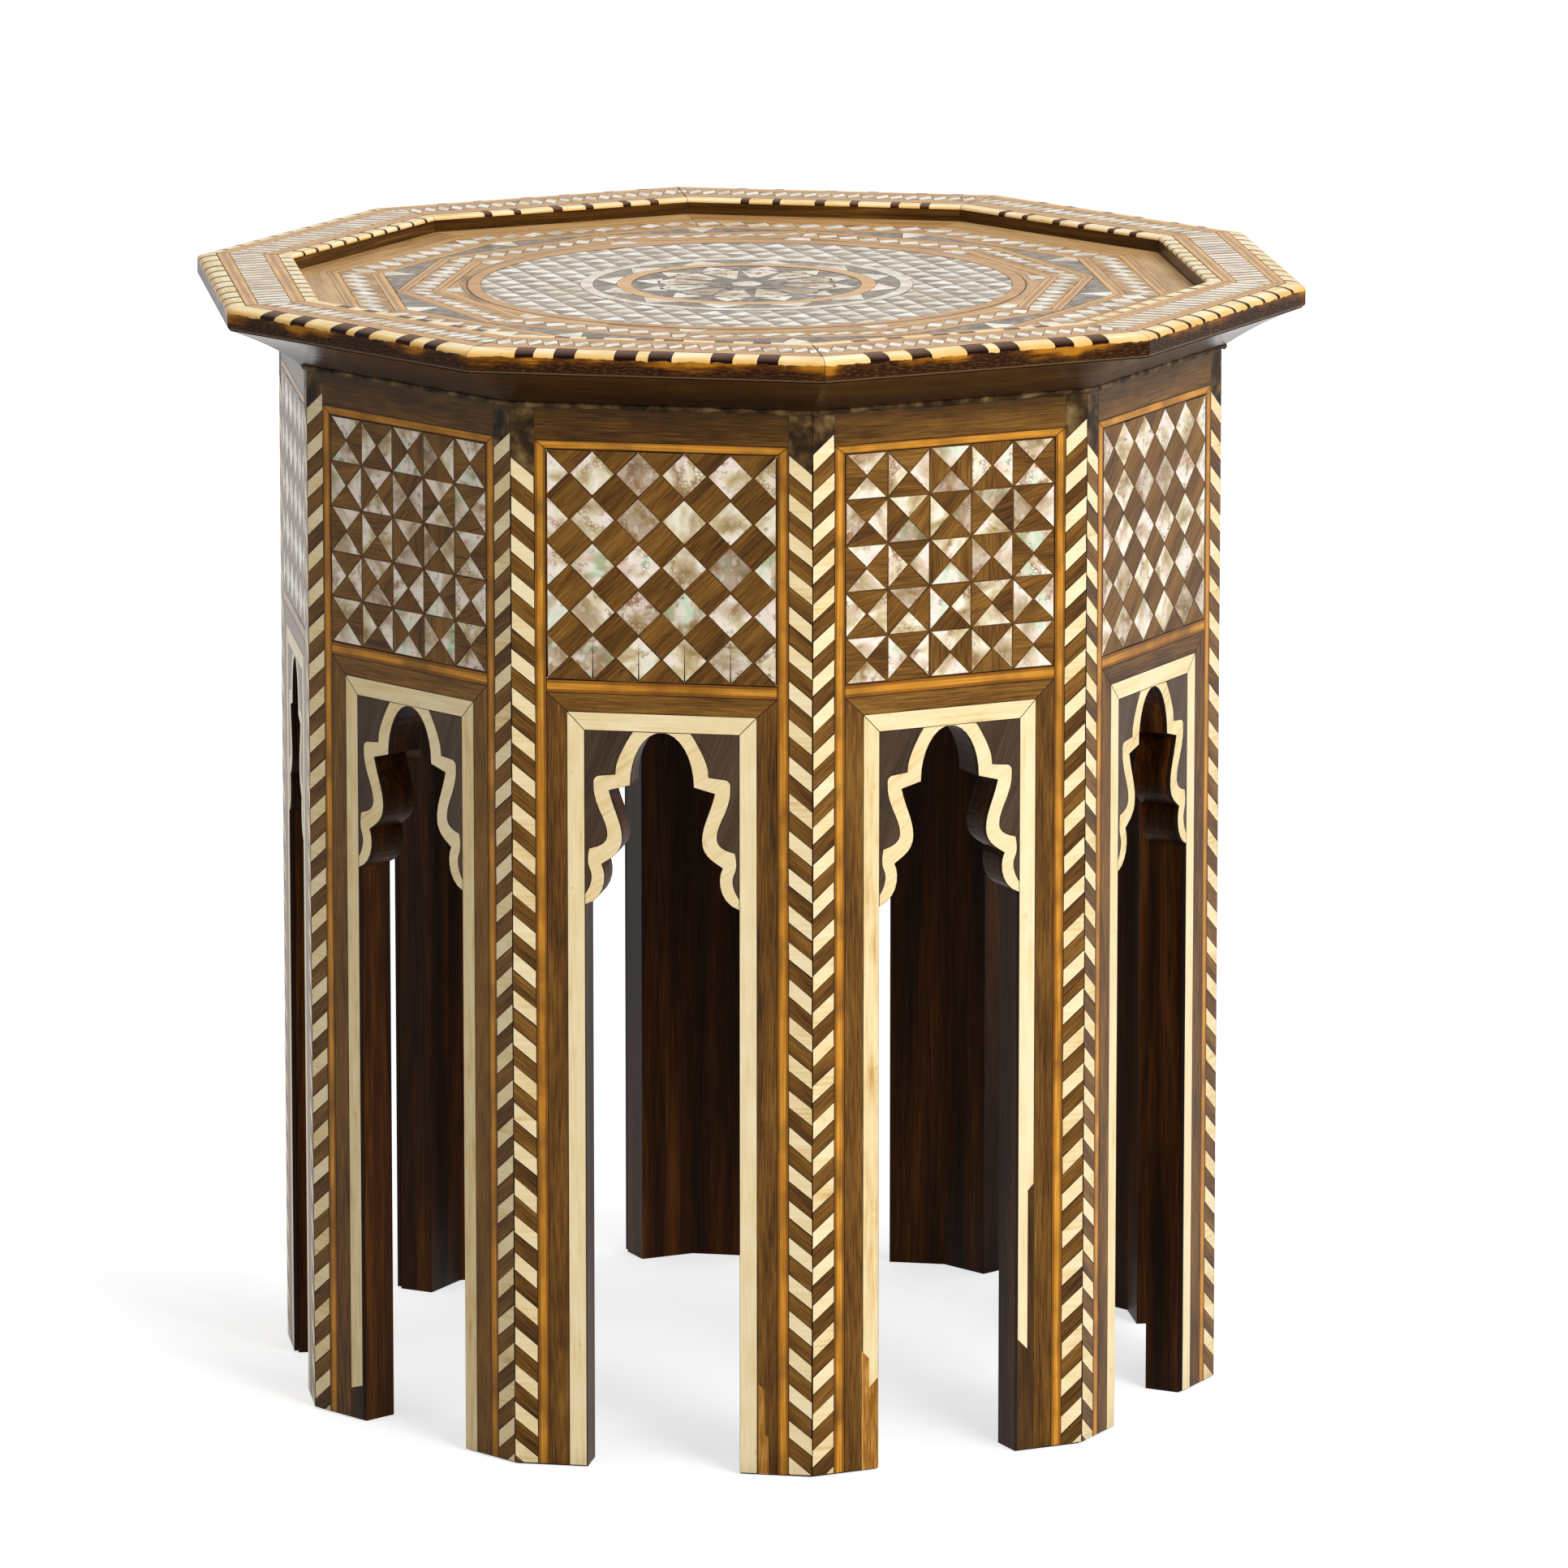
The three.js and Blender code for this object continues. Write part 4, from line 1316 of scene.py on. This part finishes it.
def lattice_rule(c):
    level = (c.y - shift.y) / row
    steps = (c.x - shift.x) / lattice_side - math.floor(level) / 2
    # A triangle that stands on its base is narrow at the top of its row
    return ("clear pearl" if abs(steps % 1 - 0.5) < (1 - level % 1) / 2 else "smoky horn"), 0.0


lay_woods(lattice, lattice_rule, upward)
joint_round(lattice, ("clear pearl", "smoky horn"), 0.12 * mm, depth=0.5 * groove)
close_piece()
print("lattice faces", len(lattice.data.polygons))

# %% Rings, teeth and kites
plates = [lattice]


def plate(name, outlines, wood, lift, turns=1):
    """A thin plate on the medallion, repeated round its middle."""
    part = filled_shape(name, outlines, tray_under, lying=True)
    open_piece(part)
    bpy.ops.mesh.select_all(action="SELECT")
    bpy.ops.mesh.remove_doubles(threshold=merge_gap)
    thicken(part, (0, 0, tray_floor - lift - tray_under))
    lay_woods(part, lambda c: (wood, 0.0, "one"), upward)
    choose(part, upward)
    bpy.ops.mesh.inset(thickness=joint, depth=0.5 * groove)
    shape = bmesh.from_edit_mesh(part.data)
    number = shape.faces.layers.int["number"]
    for face in shape.faces:
        if face[number] and not face.select:
            face[number], face.material_index = 0, finish_order.index("glue")
    bmesh.update_edit_mesh(part.data)
    close_piece()
    for i in range(turns):
        twin = own_copy(part, name)
        twin.data.transform(Matrix.Rotation(2 * math.pi * i / turns, 4, "Z"))
        plates.append(twin)
    discard(part)


def corners(*points):
    """An outline with sharp corners, in millimetres."""
    return [(x * mm, y * mm, True) for x, y in points]


def ring(outer, inner, wood, lift):
    plate("ring", [polygon(round_steps, radius * mm) for radius in (outer, inner)], wood, lift * mm)


def teeth(count, base, tip, wood, lift, share=0.94):
    half = math.pi / count * share
    aside, out = base * math.sin(half), base * math.cos(half)
    plate("tooth", [corners((0, -tip), (aside, -out), (-aside, -out))], wood, lift * mm, turns=count)


def star(points, outer, inner):
    """Outline of a star, in millimetres."""
    angles = [math.pi * i / points for i in range(2 * points)]
    return corners(*(((outer, inner)[i % 2] * math.sin(angle), -(outer, inner)[i % 2] * math.cos(angle))
                     for i, angle in enumerate(angles)))


ring(medallion_rim, 130.7, "ring wood", 0.05)
ring(82, 75.5, "clear pearl", 0.05)
ring(76, 63.5, "horn", 0.12)
teeth(12, 64.5, 75.6, "clear pearl", 0.05, 0.74)
ring(64, 56.4, "ring wood", 0.05)
plate("disc", [polygon(72, 57 * mm)], "horn", 0.2 * mm)
teeth(12, 44.0, 56.0, "clear pearl", 0.12, 0.8)
plate("kite", [corners((0, -14), (9.9, -38.5), (0, -45.5), (-9.9, -38.5))], "pearl", 0.12 * mm, turns=12)
plate("eye", [corners((0, -29), (1.9, -33.5), (0, -37), (-1.9, -33.5))], "tray walnut", 0.05 * mm, turns=12)
plate("star", [star(6, 22.0, 16.5)], "horn", 0.08 * mm)
plate("dot", [polygon(24, 7.6 * mm)], "clear pearl", 0.03 * mm)

# %% Join the medallion
join_parts(plates)
map_grain(lattice, up=(0, 1, 0))
place_copy(lattice, "pearl_medallion", 0, 800, ["tray_medallion"])
discard(lattice)

# %% [markdown]
# ## Floor, light and camera
# The table stands on a plain pale floor under soft light from the front right, with weaker soft
# lights from the right, the front left and above. The world is white for the camera and for
# reflections and dimmer as a light, so the colours of the woods come out about as they are
# written. Seen from low down on the far side, the polished tray would mirror the low lamps and
# turn white, so only the one above shows in the polish.

# %% Floor
bpy.ops.object.select_all(action="DESELECT")
bpy.ops.mesh.primitive_plane_add(size=40, location=(0, 0, 0))
floor = bpy.context.object
floor.name = "floor"
paper = new_finish("pale_floor")
path = add_node(paper, "LightPath").outputs
seen = add_node(paper, "Math", {0: path["Is Camera Ray"], 1: path["Is Glossy Ray"]}, operation="MAXIMUM")
matt = add_node(paper, "BsdfDiffuse", {"Color": linear("#c4c4c4")}).outputs["BSDF"]
spot = add_node(paper, "TexCoord").outputs["Object"]
distance = add_node(paper, "VectorMath", {0: spot}, operation="LENGTH").outputs["Value"]
fading = add_node(paper, "MapRange", {"Value": distance, "From Min": 0.4, "From Max": 2.4, "To Min": 0.68,
                                      "To Max": 0.92}, interpolation_type="SMOOTHSTEP").outputs["Result"]
lift = add_node(paper, "Math", {0: seen.outputs["Value"], 1: fading}, operation="MULTIPLY")
bright = add_node(paper, "Emission", {"Strength": lift.outputs["Value"]})
both = add_node(paper, "AddShader", {0: matt, 1: bright.outputs["Emission"]}).outputs["Shader"]
add_node(paper, "OutputMaterial", {"Surface": both})
floor.data.materials.append(paper)

# %% World
world = bpy.data.worlds.new("white_studio")
bpy.context.scene.world = world
world.use_nodes = True
world.node_tree.nodes.clear()
path = add_node(world, "LightPath").outputs
seen = add_node(world, "Math", {0: path["Is Camera Ray"], 1: path["Is Glossy Ray"]}, operation="MAXIMUM")
seen = add_node(world, "Math", {0: seen.outputs["Value"], 1: path["Is Transmission Ray"]},
                operation="MAXIMUM")
strength = add_node(world, "MapRange", {"Value": seen.outputs["Value"], "To Min": 0.4, "To Max": 1.0})
sky = add_node(world, "Background", {"Strength": strength.outputs["Result"]})
add_node(world, "OutputWorld", {"Surface": sky.outputs["Background"]})

# %% Lamps and camera
lit_place = Vector((0, 0, 0.3))


def soft_light(name, place, size, power, mirrored=False):
    lamp = bpy.data.lights.new(name, "AREA")
    lamp.shape = "DISK"
    lamp.size = size
    lamp.energy = power
    body = bpy.data.objects.new(name, lamp)
    bpy.context.collection.objects.link(body)
    body.location = place
    body.rotation_euler = (lit_place - Vector(place)).to_track_quat("-Z", "Y").to_euler()
    body.visible_glossy = mirrored


soft_light("key_light", (2.5, -2.6, 2.1), 1.8, 114)
soft_light("side_light", (3.0, -1.0, 1.4), 1.6, 21)
soft_light("fill_light", (-2.6, -1.8, 1.6), 1.6, 11)
soft_light("top_light", (0.2, 0.4, 3.2), 2.0, 34, mirrored=True)
camera = bpy.data.objects.new("camera", bpy.data.cameras.new("camera"))
bpy.context.collection.objects.link(camera)
camera.location = (0.98703, -5.37794, 1.41774)
aim = Vector((0.01747, 0.00678, 0.29212))
camera.rotation_euler = (aim - camera.location).to_track_quat("-Z", "Y").to_euler()
camera.data.lens = 258.29
camera.data.clip_end = 100
bpy.context.scene.camera = camera
bpy.context.scene.view_settings.view_transform = "Standard"
